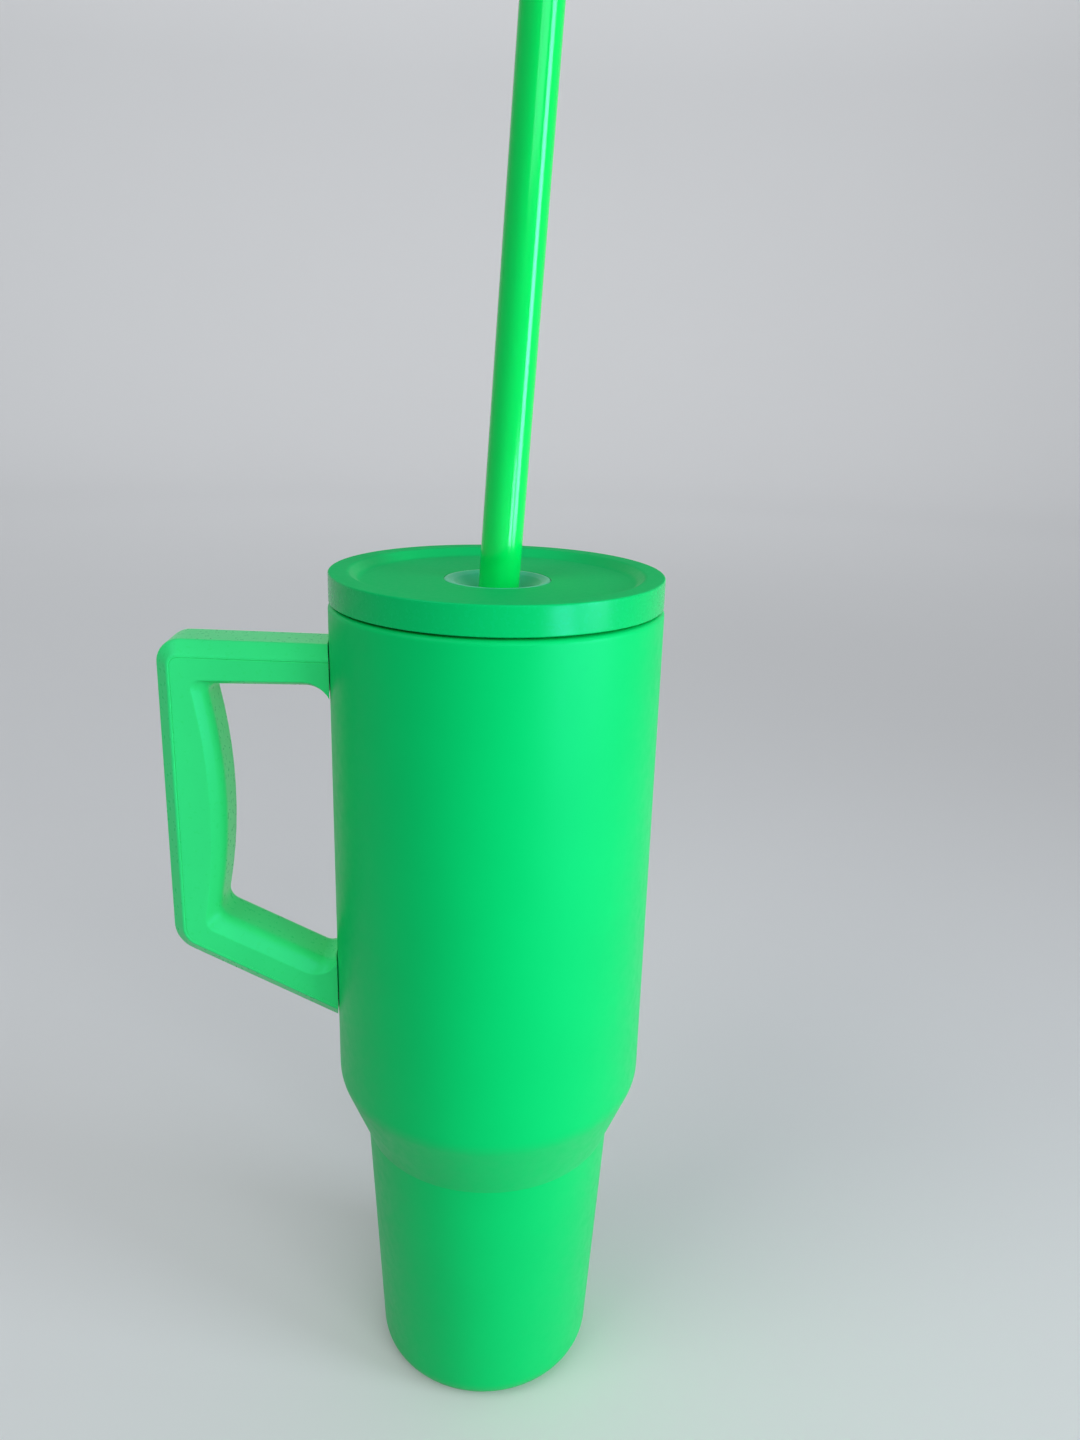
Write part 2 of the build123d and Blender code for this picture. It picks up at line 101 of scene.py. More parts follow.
def reach_of(radius: float, before: Vector, corner: Vector, after: Vector) -> float:
    """How far from a corner an arc of a given radius starts.

    Args:
        radius: The arc's radius.
        before: The point that the outline comes from.
        corner: The sharp corner.
        after: The point that the outline goes to.

    Returns:
        The distance from the corner to the arc's start.
    """
    turn = math.pi - (before - corner).angle(after - corner)
    return radius * math.tan(turn / 2)


@dataclass(frozen=True)
class Corner:
    """A corner of an outline in the plane of the axis, with the radius that rounds it."""

    across: float
    height: float
    radius: float = 0.0

    def point(self) -> Vector:
        """The corner as a vector in the XZ plane."""
        return Vector((self.across, 0.0, self.height))


@dataclass(frozen=True)
class Outline:
    """A closed outline of rounded corners, to be turned about the mug's axis."""

    corners: Sequence[Corner]
    arc_steps: int = 6
    longest_run: float = 1.0
    hold: float = 0.35 * MM

    def points(self) -> list[Point]:
        """Walk round the outline.

        Returns:
            Points of (radius, height). Each straight run has a point close to each of its ends, so
            that shading stays flat along it.
        """
        pieces = [self._corner_points(index) for index in range(len(self.corners))]
        points: list[Vector] = []
        for piece, following in zip(pieces, pieces[1:] + pieces[:1]):
            points += piece
            points += self._run_points(piece[-1], following[0])
        return [(p.x, p.z) for p in points]

    def _corner_points(self, index: int) -> list[Vector]:
        """The points of one corner: an arc, or the corner itself where it is sharp."""
        corner = self.corners[index]
        if corner.radius <= 0:
            return [corner.point()]
        before = self.corners[index - 1].point()
        after = self.corners[(index + 1) % len(self.corners)].point()
        reach = reach_of(corner.radius, before, corner.point(), after)
        return blend_corner(before, corner.point(), after, reach, self.arc_steps)

    def _run_points(self, start: Vector, end: Vector) -> list[Vector]:
        """The points inside a straight run: one near each end, and more where it is long."""
        run = end - start
        if run.length < 4 * self.hold:
            return []
        ahead = run.normalized()
        near = start + ahead * self.hold
        far = end - ahead * self.hold
        count = max(1, math.ceil((far - near).length / self.longest_run))
        return [near.lerp(far, step / count) for step in range(count + 1)]


def inset(points: Sequence[Point], distance: float) -> list[Point]:
    """Move an open line of (x, z) points to its left.

    Args:
        points: The line's points.
        distance: How far to move it.

    Returns:
        The moved line's points, with its corners mitred.
    """
    runs = [Vector(end) - Vector(start) for start, end in zip(points, points[1:])]
    normals = [Vector((-run.y, run.x)).normalized() for run in runs]
    moved = []
    for point, first, second in zip(points, normals[:1] + normals, normals + normals[-1:]):
        shift = (first + second) * (distance / (1 + first.dot(second)))
        moved.append((point[0] + shift.x, point[1] + shift.y))
    return moved


def at_height(lower: Point, upper: Point, height: float) -> Point:
    """The point at a height on the straight line through two points."""
    share = (height - lower[1]) / (upper[1] - lower[1])
    return lower[0] + share * (upper[0] - lower[0]), height


def at_across(near: Point, far: Point, across: float) -> Point:
    """The point at an x on the straight line through two points."""
    share = (across - near[0]) / (far[0] - near[0])
    return across, near[1] + share * (far[1] - near[1])


def mesh_object(
    name: str, points: Sequence[Sequence[float]], faces: Sequence[Sequence[int]]
) -> Piece:
    """Make a smooth-shaded mesh object whose clear edges stay sharp.

    Args:
        name: The object's name.
        points: The vertices' places.
        faces: The vertices of each face.

    Returns:
        The new object, linked to the scene.
    """
    mesh = bpy.data.meshes.new(name)
    mesh.from_pydata([tuple(point) for point in points], [], [tuple(face) for face in faces])
    mesh.validate()
    piece = bpy.data.objects.new(name, mesh)
    bpy.context.scene.collection.objects.link(piece)
    shade(piece)
    return piece


def shade(piece: Piece) -> None:
    """Shade a piece smoothly, with its clear edges sharp.

    Args:
        piece: The object to shade.
    """
    piece.data.polygons.foreach_set("use_smooth", [True] * len(piece.data.polygons))
    piece.data.set_sharp_from_angle(angle=SHARP_EDGE)
    piece.data.update()


@dataclass(frozen=True)
class Lathe:
    """Turns outlines about the mug's axis into closed meshes."""

    segments: int = 288

    def turn(self, name: str, outline: Outline, displace: Optional[Displace] = None) -> Piece:
        """Turn an outline about the axis.

        Args:
            name: The piece's name.
            outline: The closed outline; it may touch the axis.
            displace: Gives how far a point moves outward from its angle, radius and height.

        Returns:
            The turned mesh object.
        """
        profile = outline.points()
        points: list[tuple[float, float, float]] = []
        rings: list[list[int]] = []
        for radius, height in profile:
            if radius < ON_AXIS:
                points.append((0.0, 0.0, height))
                rings.append([len(points) - 1] * self.segments)
                continue
            start = len(points)
            for segment in range(self.segments):
                angle = TURN * segment / self.segments
                spread = radius + (displace(angle, radius, height) if displace else 0.0)
                points.append((spread * math.cos(angle), spread * math.sin(angle), height))
            rings.append(list(range(start, start + self.segments)))
        return mesh_object(name, points, self._skin(rings))

    def _skin(self, rings: list[list[int]]) -> list[list[int]]:
        """Join neighbouring rings of vertices with faces.

        Args:
            rings: The vertices of each ring; a ring on the axis repeats one vertex.

        Returns:
            The faces, with no edge between two vertices on the axis.
        """
        faces = []
        for lower, upper in zip(rings, rings[1:] + rings[:1]):
            for segment in range(self.segments):
                after = (segment + 1) % self.segments
                corners = [lower[segment], lower[after], upper[after], upper[segment]]
                unique = list(dict.fromkeys(corners))
                if len(unique) > 2:
                    faces.append(unique)
        return faces


def carve(piece: Piece, tools: Sequence[Piece]) -> None:
    """Cut other meshes out of a piece, all at once, and delete them.

    Args:
        piece: The object to change.
        tools: The objects that are cut out of it.
    """
    group = bpy.data.collections.new("tools")
    for tool in tools:
        group.objects.link(tool)
    modifier = piece.modifiers.new("carve", "BOOLEAN")
    modifier.operation = "DIFFERENCE"
    modifier.operand_type = "COLLECTION"
    modifier.collection = group
    modifier.solver = "EXACT"
    evaluated = piece.evaluated_get(bpy.context.evaluated_depsgraph_get())
    mesh = bpy.data.meshes.new_from_object(evaluated)
    mesh.name = piece.name
    piece.modifiers.clear()
    piece.data = mesh
    for tool in tools:
        bpy.data.objects.remove(tool)
    bpy.data.collections.remove(group)
    shade(piece)


def even_normals(piece: Piece) -> None:
    """Let the large faces rule the shading of the small ones beside them.

    Args:
        piece: The object to treat.
    """
    modifier = piece.modifiers.new("even_normals", "WEIGHTED_NORMAL")
    modifier.keep_sharp = True


# ---------------------------------------------------------------- finishes


def tint(red: int, green: int, blue: int) -> Colour:
    """A colour as it looks on a screen, from 0 to 255, as the shader's own linear colour."""

    def linear(value: float) -> float:
        """One channel, from its screen value to its linear one."""
        return value / 12.92 if value <= 0.04045 else ((value + 0.055) / 1.055) ** 2.4

    return linear(red / 255), linear(green / 255), linear(blue / 255), 1.0


class Sheet:
    """A material's node sheet, with short ways to add and join nodes."""

    def __init__(self, name: str) -> None:
        """Start a new material.

        Args:
            name: The material's name.
        """
        self.material = bpy.data.materials.new(name)
        self.material.use_nodes = True
        self.tree = self.material.node_tree
        self.shader = self.tree.nodes["Principled BSDF"]
        coordinates = self.tree.nodes.new("ShaderNodeTexCoord")
        self.place = coordinates.outputs["Object"]
        self.normals = coordinates.outputs["Normal"]

    def set(self, **values: object) -> None:
        """Set the shader's own sockets, named with underscores for spaces.

        Args:
            **values: The value of each socket.
        """
        for name, value in values.items():
            self.shader.inputs[name.replace("_", " ")].default_value = value

    def join(self, source: Socket, target: Socket) -> None:
        """Link one socket to another."""
        self.tree.links.new(source, target)

    def stretched(self, scale: tuple[float, float, float]) -> Socket:
        """The piece's own coordinates, scaled along each axis.

        Args:
            scale: The three scales.

        Returns:
            The socket that carries the scaled coordinates.
        """
        mapping = self.tree.nodes.new("ShaderNodeMapping")
        mapping.inputs["Scale"].default_value = scale
        self.join(self.place, mapping.inputs["Vector"])
        return mapping.outputs["Vector"]

    def noise(
        self,
        size: float,
        detail: float = 3.0,
        place: Optional[Socket] = None,
        rough: float = 0.5,
    ) -> Socket:
        """Add a noise.

        Args:
            size: The size of its blobs, in metres where the place isn't stretched.
            detail: How many finer layers it has.
            place: The coordinates, or the piece's own.
            rough: How strong the finer layers are.

        Returns:
            The noise's factor.
        """
        node = self.tree.nodes.new("ShaderNodeTexNoise")
        node.inputs["Scale"].default_value = 1.0 / size
        node.inputs["Detail"].default_value = detail
        node.inputs["Roughness"].default_value = rough
        self.join(place or self.place, node.inputs["Vector"])
        return node.outputs["Fac"]

    def upward(self) -> Socket:
        """How far the piece's surface faces up, from -1 to 1."""
        facing = self.tree.nodes.new("ShaderNodeSeparateXYZ")
        self.join(self.normals, facing.inputs[0])
        return facing.outputs["Z"]

    def added(self, first: Socket, second: Socket) -> Socket:
        """The sum of two factors."""
        node = self.tree.nodes.new("ShaderNodeMath")
        node.operation = "ADD"
        self.join(first, node.inputs[0])
        self.join(second, node.inputs[1])
        return node.outputs[0]

    def ranged(
        self, source: Socket, taken: tuple[float, float], given: tuple[float, float]
    ) -> Socket:
        """Map a factor from one range to another.

        Args:
            source: The factor.
            taken: The range it is read over.
            given: The range it is given out over.

        Returns:
            The mapped factor.
        """
        node = self.tree.nodes.new("ShaderNodeMapRange")
        for name, value in zip(("From Min", "From Max", "To Min", "To Max"), (*taken, *given)):
            node.inputs[name].default_value = value
        self.join(source, node.inputs["Value"])
        return node.outputs["Result"]

    def mixed(
        self,
        factor: Socket,
        first: Colour | Socket,
        second: Colour,
    ) -> Socket:
        """Mix two colours.

        Args:
            factor: 0 for the first colour and 1 for the second.
            first: A colour, or a socket that carries one.
            second: A colour.

        Returns:
            The mixed colour.
        """
        node = self.tree.nodes.new("ShaderNodeMix")
        node.data_type = "RGBA"
        self.join(factor, node.inputs[0])
        if isinstance(first, Socket):
            self.join(first, node.inputs[6])
        else:
            node.inputs[6].default_value = first
        node.inputs[7].default_value = second
        return node.outputs[2]

    def bump(
        self,
        height: Socket,
        depth: float,
        strength: float,
        under: Optional[Socket] = None,
    ) -> Socket:
        """Add a bump, over another one where given.

        Args:
            height: The factor that gives the height.
            depth: The bump's height, in metres.
            strength: How much of it shows.
            under: The normal of the bump below it.

        Returns:
            The bumped normal.
        """
        node = self.tree.nodes.new("ShaderNodeBump")
        node.inputs["Distance"].default_value = depth
        node.inputs["Strength"].default_value = strength
        self.join(height, node.inputs["Height"])
        if under:
            self.join(under, node.inputs["Normal"])
        return node.outputs["Normal"]

    def colour(self, source: Socket) -> None:
        """Feed the shader's base colour."""
        self.join(source, self.shader.inputs["Base Color"])

    def toned(self, factor: Socket, colour: Colour, darkest: float, lightest: float) -> None:
        """Let the base colour drift between a darker and a lighter share of one colour.

        Args:
            factor: 0 where it is darkest and 1 where it is lightest.
            colour: The colour.
            darkest: The share of it at 0.
            lightest: The share of it at 1.
        """
        self.colour(self.mixed(factor, shaded(colour, darkest), shaded(colour, lightest)))

    def worn(self, factor: Socket, gloss: tuple[float, float]) -> Socket:
        """A noise spread over a range of roughness, from the smoothest to the dullest."""
        return self.ranged(factor, NOISE_BAND, gloss)

    def roughness(self, source: Socket) -> None:
        """Feed the shader's roughness."""
        self.join(source, self.shader.inputs["Roughness"])

    def normal(self, source: Socket) -> None:
        """Feed the shader's normal."""
        self.join(source, self.shader.inputs["Normal"])


def shaded(colour: Colour, share: float) -> Colour:
    """A colour made darker or lighter by a share."""
    red, green, blue, alpha = colour
    return red * share, green * share, blue * share, alpha


@dataclass(frozen=True)
class Finish:
    """A surface finish. Each kind draws its own material from its own numbers."""

    name: str
    colour: Colour

    def material(self) -> bpy.types.Material:
        """The finish's material, drawn once.

        Returns:
            The material.
        """
        drawn = bpy.data.materials.get(self.name)
        if drawn:
            return drawn
        sheet = Sheet(self.name)
        self._draw(sheet)
        return sheet.material

    def _draw(self, sheet: Sheet) -> None:
        """Draw the finish on its sheet; each kind has its own way."""
        raise NotImplementedError

    def dress(self, piece: Piece, slot: Optional[str] = None) -> None:
        """Give a piece this finish.

        Args:
            piece: The object to dress.
            slot: The record's material slot, for a piece that isn't a CAD node; not used.
        """
        piece.data.materials.clear()
        piece.data.materials.append(self.material())


@dataclass(frozen=True)
class PowderCoat(Finish):
    """Matte powder coat: a faint orange peel, a finer grain and a slow drift of tone."""

    peel: float = 1.1 * MM
    peel_depth: float = 0.02 * MM
    grain: float = 0.16 * MM
    gloss: tuple[float, float] = (0.36, 0.46)

    def _draw(self, sheet: Sheet) -> None:
        """Draw the coat."""
        sheet.set(Specular_IOR_Level=0.28, Specular_Tint=SEA_GLOSS)
        sheet.toned(sheet.noise(35 * MM, 2), self.colour, 0.95, 1.05)
        sheet.roughness(sheet.worn(sheet.noise(3 * MM, 4), self.gloss))
        peel = sheet.bump(sheet.noise(self.peel, 1), self.peel_depth, 0.5)
        sheet.normal(sheet.bump(sheet.noise(self.grain, 2), self.peel_depth * 0.4, 0.35, peel))


@dataclass(frozen=True)
class Moulded(Finish):
    """Satin moulded plastic: an even spark-eroded grain and a slow drift of tone."""

    grain: float = 0.4 * MM
    grain_depth: float = 0.03 * MM
    grain_strength: float = 0.5
    gloss: tuple[float, float] = (0.3, 0.42)
    shine: float = 0.32
    upward_dulling: float = 0.0

    def _draw(self, sheet: Sheet) -> None:
        """Draw the plastic."""
        sheet.set(Specular_IOR_Level=self.shine, Specular_Tint=SEA_GLOSS)
        sheet.toned(sheet.noise(25 * MM, 2), self.colour, 0.96, 1.04)
        rough = sheet.worn(sheet.noise(1.5 * MM, 3), self.gloss)
        dulling = sheet.ranged(sheet.upward(), (0.6, 0.97), (0.0, self.upward_dulling))
        sheet.roughness(sheet.added(rough, dulling))
        grain = sheet.noise(self.grain, 2, rough=0.6)
        sheet.normal(sheet.bump(grain, self.grain_depth, self.grain_strength))


@dataclass(frozen=True)
class GlossTube(Finish):
    """Extruded glossy plastic: faint lines along the draw and a little light inside."""

    gloss: tuple[float, float] = (0.1, 0.16)

    def _draw(self, sheet: Sheet) -> None:
        """Draw the tube's plastic."""
        sheet.set(
            Specular_IOR_Level=0.5,
            Specular_Tint=(0.45, 1.0, 1.0, 1.0),
            Subsurface_Weight=0.2,
            Subsurface_Scale=3 * MM,
            Subsurface_Radius=(0.3, 1.0, 0.6),
        )
        drawn = sheet.stretched((1.0, 1.0, 0.02))
        sheet.toned(sheet.noise(4 * MM, 2, drawn), self.colour, 0.95, 1.05)
        sheet.roughness(sheet.worn(sheet.noise(1 * MM, 2, drawn), self.gloss))
        sheet.normal(sheet.bump(sheet.noise(1.2 * MM, 1, drawn), 0.02 * MM, 0.25))


@dataclass(frozen=True)
class Silicone(Finish):
    """Soft translucent silicone: milky, with a satin skin."""

    clear: float = 0.35
    gloss: tuple[float, float] = (0.28, 0.4)

    def _draw(self, sheet: Sheet) -> None:
        """Draw the silicone."""
        sheet.set(
            IOR=1.41,
            Transmission_Weight=self.clear,
            Specular_IOR_Level=0.3,
            Subsurface_Weight=0.6,
            Subsurface_Scale=4 * MM,
            Subsurface_Radius=(0.5, 1.0, 0.8),
        )
        sheet.toned(sheet.noise(6 * MM, 2), self.colour, 0.92, 1.05)
        sheet.roughness(sheet.worn(sheet.noise(1.2 * MM, 3), self.gloss))
        sheet.normal(sheet.bump(sheet.noise(0.5 * MM, 2), 0.02 * MM, 0.3))


class Brushing(Enum):
    """Which way a steel surface is brushed, as a stretch along X, Y and Z."""

    AROUND = (0.02, 0.02, 1.0)
    ALONG_X = (0.03, 1.0, 1.0)


@dataclass(frozen=True)
class Steel(Finish):
    """Stainless sheet with fine brushed lines."""

    brushing: Brushing = Brushing.AROUND
    line: float = 0.12 * MM
    gloss: tuple[float, float] = (0.2, 0.36)

    def _draw(self, sheet: Sheet) -> None:
        """Draw the steel."""
        sheet.set(Metallic=1.0, Anisotropic=0.4)
        along = sheet.stretched(self.brushing.value)
        lines = sheet.noise(self.line, 3, along)
        sheet.toned(sheet.noise(20 * self.line, 2, along), self.colour, 0.9, 1.05)
        sheet.roughness(sheet.worn(lines, self.gloss))
        sheet.normal(sheet.bump(lines, 0.006 * MM, 0.3))


@dataclass(frozen=True)
class Rubber(Finish):
    """Matte moulded rubber with a fine pebble."""

    pebble: float = 0.5 * MM
    gloss: tuple[float, float] = (0.62, 0.8)

    def _draw(self, sheet: Sheet) -> None:
        """Draw the rubber."""
        sheet.set(Specular_IOR_Level=0.35, Sheen_Weight=0.15)
        sheet.toned(sheet.noise(8 * MM, 3), self.colour, 0.88, 1.08)
        sheet.roughness(sheet.worn(sheet.noise(2 * MM, 3), self.gloss))
        sheet.normal(sheet.bump(sheet.noise(self.pebble, 2), 0.05 * MM, 0.45))


@dataclass(frozen=True)
class Mineral(Finish):
    """Sintered or fused material: fine dark and light grains."""

    grain: float = 0.35 * MM
    gloss: tuple[float, float] = (0.4, 0.7)

    def _draw(self, sheet: Sheet) -> None:
        """Draw the grains."""
        grains = sheet.noise(self.grain, 4, rough=0.7)
        sheet.toned(grains, self.colour, 0.6, 1.5)
        sheet.roughness(sheet.worn(grains, self.gloss))
        sheet.normal(sheet.bump(grains, 0.08 * MM, 0.5))


@dataclass(frozen=True)
class Palette:
    """Every finish on the mug."""

    body: Finish = PowderCoat("body_powder_coat", tint(0, 211, 108))
    lid: Finish = Moulded(
        "lid_moulded", tint(0, 202, 104), gloss=(0.22, 0.3), grain_strength=0.28, upward_dulling=0.45
    )
    handle: Finish = Moulded(
        "handle_moulded", tint(56, 243, 137), gloss=(0.26, 0.34), grain_strength=0.25, shine=0.28
    )
    straw: Finish = GlossTube("straw_gloss", tint(0, 236, 96))
    seal: Finish = Silicone("straw_seal_silicone", tint(62, 214, 156), clear=0.08)
    gasket: Finish = Silicone("lid_gasket_silicone", tint(200, 214, 206), clear=0.2)
    liner: Finish = Steel("liner_brushed_steel", tint(205, 206, 208))
    base: Finish = Steel("base_bare_steel", tint(196, 197, 200))
    fixing: Finish = Steel("fixing_zinc_steel", tint(186, 188, 194), Brushing.ALONG_X)
    pad: Finish = Rubber("base_pad_rubber", tint(0, 120, 70))
    cap: Finish = Rubber("screw_cap_rubber", tint(46, 200, 105))
    getter: Finish = Mineral("getter_sinter", tint(110, 110, 114))
    port: Finish = Mineral("port_bead", tint(60, 60, 64), gloss=(0.15, 0.3))


# ---------------------------------------------------------------- quick thread


@dataclass(frozen=True)
class QuickThread:
    """The lid's three-start thread, as a smooth swelling of a turned wall."""

    starts: int = 3
    lead: float = 12 * MM
    wrap: float = math.radians(130)
    root_width: float = 2.0 * MM
    crest_width: float = 1.0 * MM
    run_out: float = math.radians(6)
    tolerance: float = 0.05 * MM

    def swelling(self, ridge: float, low: float, wall: float) -> Displace:
        """Describe the ridges on a wall.

        Args:
            ridge: The ridge's height, negative for ridges that point inward.
            low: The height of a ridge's middle where it starts.
            wall: The radius of the wall that carries the ridges.

        Returns:
            The displacement for a lathe.
        """

        def displace(angle: float, radius: float, height: float) -> float:
            """How far a point of the wall moves outward."""
            if abs(radius - wall) > self.tolerance:
                return 0.0
            return ridge * max(self._share(angle, height - low, start) for start in range(self.starts))

        return displace

    def _share(self, angle: float, height: float, start: int) -> float:
        """How much of one ridge a point of the wall carries.

        Args:
            angle: The point's angle about the axis.
            height: Its height over the ridges' starts.
            start: Which ridge.

        Returns:
            From 0 off the ridge to 1 on its crest.
        """
        turned = (angle - TURN * start / self.starts) % TURN
        if turned > self.wrap:
            return 0.0
        off = abs(height - self.lead * turned / TURN)
        flank = (self.root_width / 2 - off) / (self.root_width / 2 - self.crest_width / 2)
        ends = min(turned, self.wrap - turned) / self.run_out
        return smooth(flank) * smooth(ends)


def threaded_wall(radius: float, start: float, end: float, rows: int) -> list[Corner]:
    """The fine rows of a wall that carries ridges.

    Args:
        radius: The wall's radius.
        start: The height of the first row.
        end: The height of the last row.
        rows: How many steps lie between them.

    Returns:
        The rows, as sharp corners of an outline.
    """
    return [Corner(radius, start + (end - start) * row / rows) for row in range(rows + 1)]


def smooth(value: float) -> float:
    """A soft step from 0 to 1."""
    value = min(max(value, 0.0), 1.0)
    return value * value * (3 - 2 * value)


# ---------------------------------------------------------------- the body


@dataclass
class Body:
    """The double-walled steel body: shell, liner and base."""

    palette: Palette
    lathe: Lathe = field(default_factory=Lathe)
    thread: QuickThread = field(default_factory=QuickThread)
    crease_radius: float = 39.5 * MM
    crease_height: float = 87.1 * MM
    base_radius: float = 34.8 * MM
    shoulder_height: float = 108.8 * MM
    shoulder_round: float = 13.0 * MM
    crease_round: float = 0.8 * MM
    base_round: float = 7.6 * MM
    rim_round: float = 1.5 * MM
    shell_sheet: float = 0.6 * MM
    liner_sheet: float = 0.5 * MM
    vacuum_gap: float = 3.15 * MM
    thread_drop: float = 10.9 * MM
    thread_ridge: float = 1.3 * MM
    thread_zone: tuple[float, float] = (13.0 * MM, 4.5 * MM)
    thread_rows: int = 48
    mouth_round: float = 0.15 * MM
    longest_run: float = 12 * MM
    pad_round: float = 0.4 * MM
    pad_rings: tuple[float, float] = (0.62, 0.86)
    ring_edges: tuple[float, float, float, float] = (-0.9 * MM, -0.6 * MM, 0.6 * MM, 0.9 * MM)
    ring_depth: float = 0.35 * MM

    def __post_init__(self) -> None:
        """Read the body's outer size from the frame."""
        low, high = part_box("outer_shell")
        self.radius = min(-low.x, -low.y, high.x, high.y)
        self.rim_height = high.z
        self.opening_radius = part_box("shell_base")[1].x
        self.seam_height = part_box("inner_liner")[0].z

    def _layer(self, depth: float, floor: float) -> tuple[Point, Point, Point, Point]:
        """The wall's corners at a depth under its outer face.

        Args:
            depth: The depth.
            floor: The height that the lowest corner is put at.

        Returns:
            The foot, crease, shoulder and rim as (radius, height).
        """
        outer = [
            (self.base_radius, 0.0),
            (self.crease_radius, self.crease_height),
            (self.radius, self.shoulder_height),
            (self.radius, self.rim_height),
        ]
        base, crease, shoulder, rim = inset(outer, depth)
        return at_height(base, crease, floor), crease, shoulder, rim

    def build_shell(self) -> Piece:
        """Turn the powder-coated outer shell.

        Returns:
            The shell.
        """
        foot, crease, shoulder, _ = self._layer(0.0, 0.0)
        inner_foot, inner_crease, inner_shoulder, inner_rim = self._layer(self.shell_sheet, self.shell_sheet)
        land_radius = self.radius - self.shell_sheet - self.vacuum_gap
        land_under = self.rim_height - self.shell_sheet
        outline = Outline(
            [
                Corner(self.opening_radius, 0.0),
                Corner(*foot, self.base_round),
                Corner(*crease, self.crease_round),
                Corner(*shoulder, self.shoulder_round),
                Corner(self.radius, self.rim_height, self.rim_round),
                Corner(land_radius, self.rim_height),
                Corner(land_radius, land_under),
                Corner(inner_rim[0], land_under, self.rim_round - self.shell_sheet),
                Corner(*inner_shoulder, self.shoulder_round - self.shell_sheet),
                Corner(*inner_crease, self.crease_round + self.shell_sheet),
                Corner(*inner_foot, self.base_round - self.shell_sheet),
                Corner(self.opening_radius, self.shell_sheet),
            ],
            arc_steps=14,
            longest_run=self.longest_run,
        )
        return self.lathe.turn("shell_coated", outline)

    def build_liner(self) -> Piece:
        """Turn the steel liner with the mouth's rolled thread.

        Returns:
            The liner tube.
        """
        outside = self.shell_sheet + self.vacuum_gap
        inside = outside + self.liner_sheet
        foot, crease, shoulder, rim = self._layer(outside, self.seam_height)
        inner_foot, inner_crease, inner_shoulder, inner_rim = self._layer(inside, self.seam_height)
        zone_low = self.rim_height - self.thread_zone[0]
        zone_high = self.rim_height - self.thread_zone[1]
        outline = Outline(
            [
                Corner(*foot),
                Corner(*crease, self.crease_round + outside),
                Corner(*shoulder, self.shoulder_round - outside),
                Corner(rim[0], self.rim_height),
                Corner(inner_rim[0], self.rim_height, self.mouth_round),
                *threaded_wall(inner_rim[0], zone_high, zone_low, self.thread_rows),
                Corner(*inner_shoulder, self.shoulder_round - inside),
                Corner(*inner_crease, self.crease_round + inside),
                Corner(*inner_foot),
            ],
            arc_steps=10,
            longest_run=self.longest_run,
        )
        low = self.rim_height - self.thread_drop
        swelling = self.thread.swelling(-self.thread_ridge, low, inner_rim[0])
        return self.lathe.turn("liner_rolled", outline, swelling)

    def build_pad(self) -> Piece:
        """Turn the base pad, with two shallow rings in its underside.

        Returns:
            The pad.
        """
        low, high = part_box("base_pad")
        rings = []
        depths = (0.0, self.ring_depth, self.ring_depth, 0.0)
        for share in self.pad_rings:
            middle = share * high.x
            for offset, depth in zip(self.ring_edges, depths):
                rings.append(Corner(middle + offset, low.z + depth))
        edge = [Corner(high.x, low.z, self.pad_round), Corner(high.x, high.z)]
        outline = Outline([Corner(0.0, low.z), *rings, *edge, Corner(0.0, high.z)])
        return self.lathe.turn("base_pad_soft", outline)

    def dress(self) -> None:
        """Build, finish and mount the body's pieces."""
        place(self.build_shell(), "mug", self.palette.body, "body_coat", "outer_shell")
        place(self.build_liner(), "mug", self.palette.liner, "liner_steel", "inner_liner")
        place(self.build_pad(), "mug", self.palette.pad, "pad_rubber", "base_pad")
        dress_node("liner_bottom", self.palette.liner)
        dress_node("shell_base", self.palette.base)
        dress_node("vacuum_plug", self.palette.port)
        dress_node("getter", self.palette.getter)
        dress_node("getter_clip", self.palette.fixing)


def place(piece: Piece, body: str, finish: Finish, slot: str, *nodes: str) -> None:
    """Finish a piece, mount it on its body and let it stand for its CAD nodes.

    Args:
        piece: The piece.
        body: The body it moves with.
        finish: Its finish.
        slot: The record's material slot.
        *nodes: The CAD nodes that it stands for.
    """
    finish.dress(piece, slot)
    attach(piece, body)
    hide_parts(*nodes)
    LOG.info("%s stands for %s with %d faces", piece.name, ", ".join(nodes), len(piece.data.polygons))


def dress_node(node: str, finish: Finish) -> None:
    """Give a CAD node that keeps its own shape its finish.

    Args:
        node: The node's name.
        finish: Its finish.
    """
    finish.dress(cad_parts[node])
    LOG.info("%s keeps its shape, with finish %s", node, finish.name)


# ---------------------------------------------------------------- the handle


@dataclass(frozen=True)
class Bend:
    """A bend of the handle's path in the XZ plane, with how far it reaches along both sides."""

    across: float
    height: float
    reach: float

    def point(self) -> Vector:
        """The bend's sharp corner."""
        return Vector((self.across, 0.0, self.height))

    def pair(self) -> Point:
        """The bend's sharp corner as (x, z)."""
        return self.across, self.height


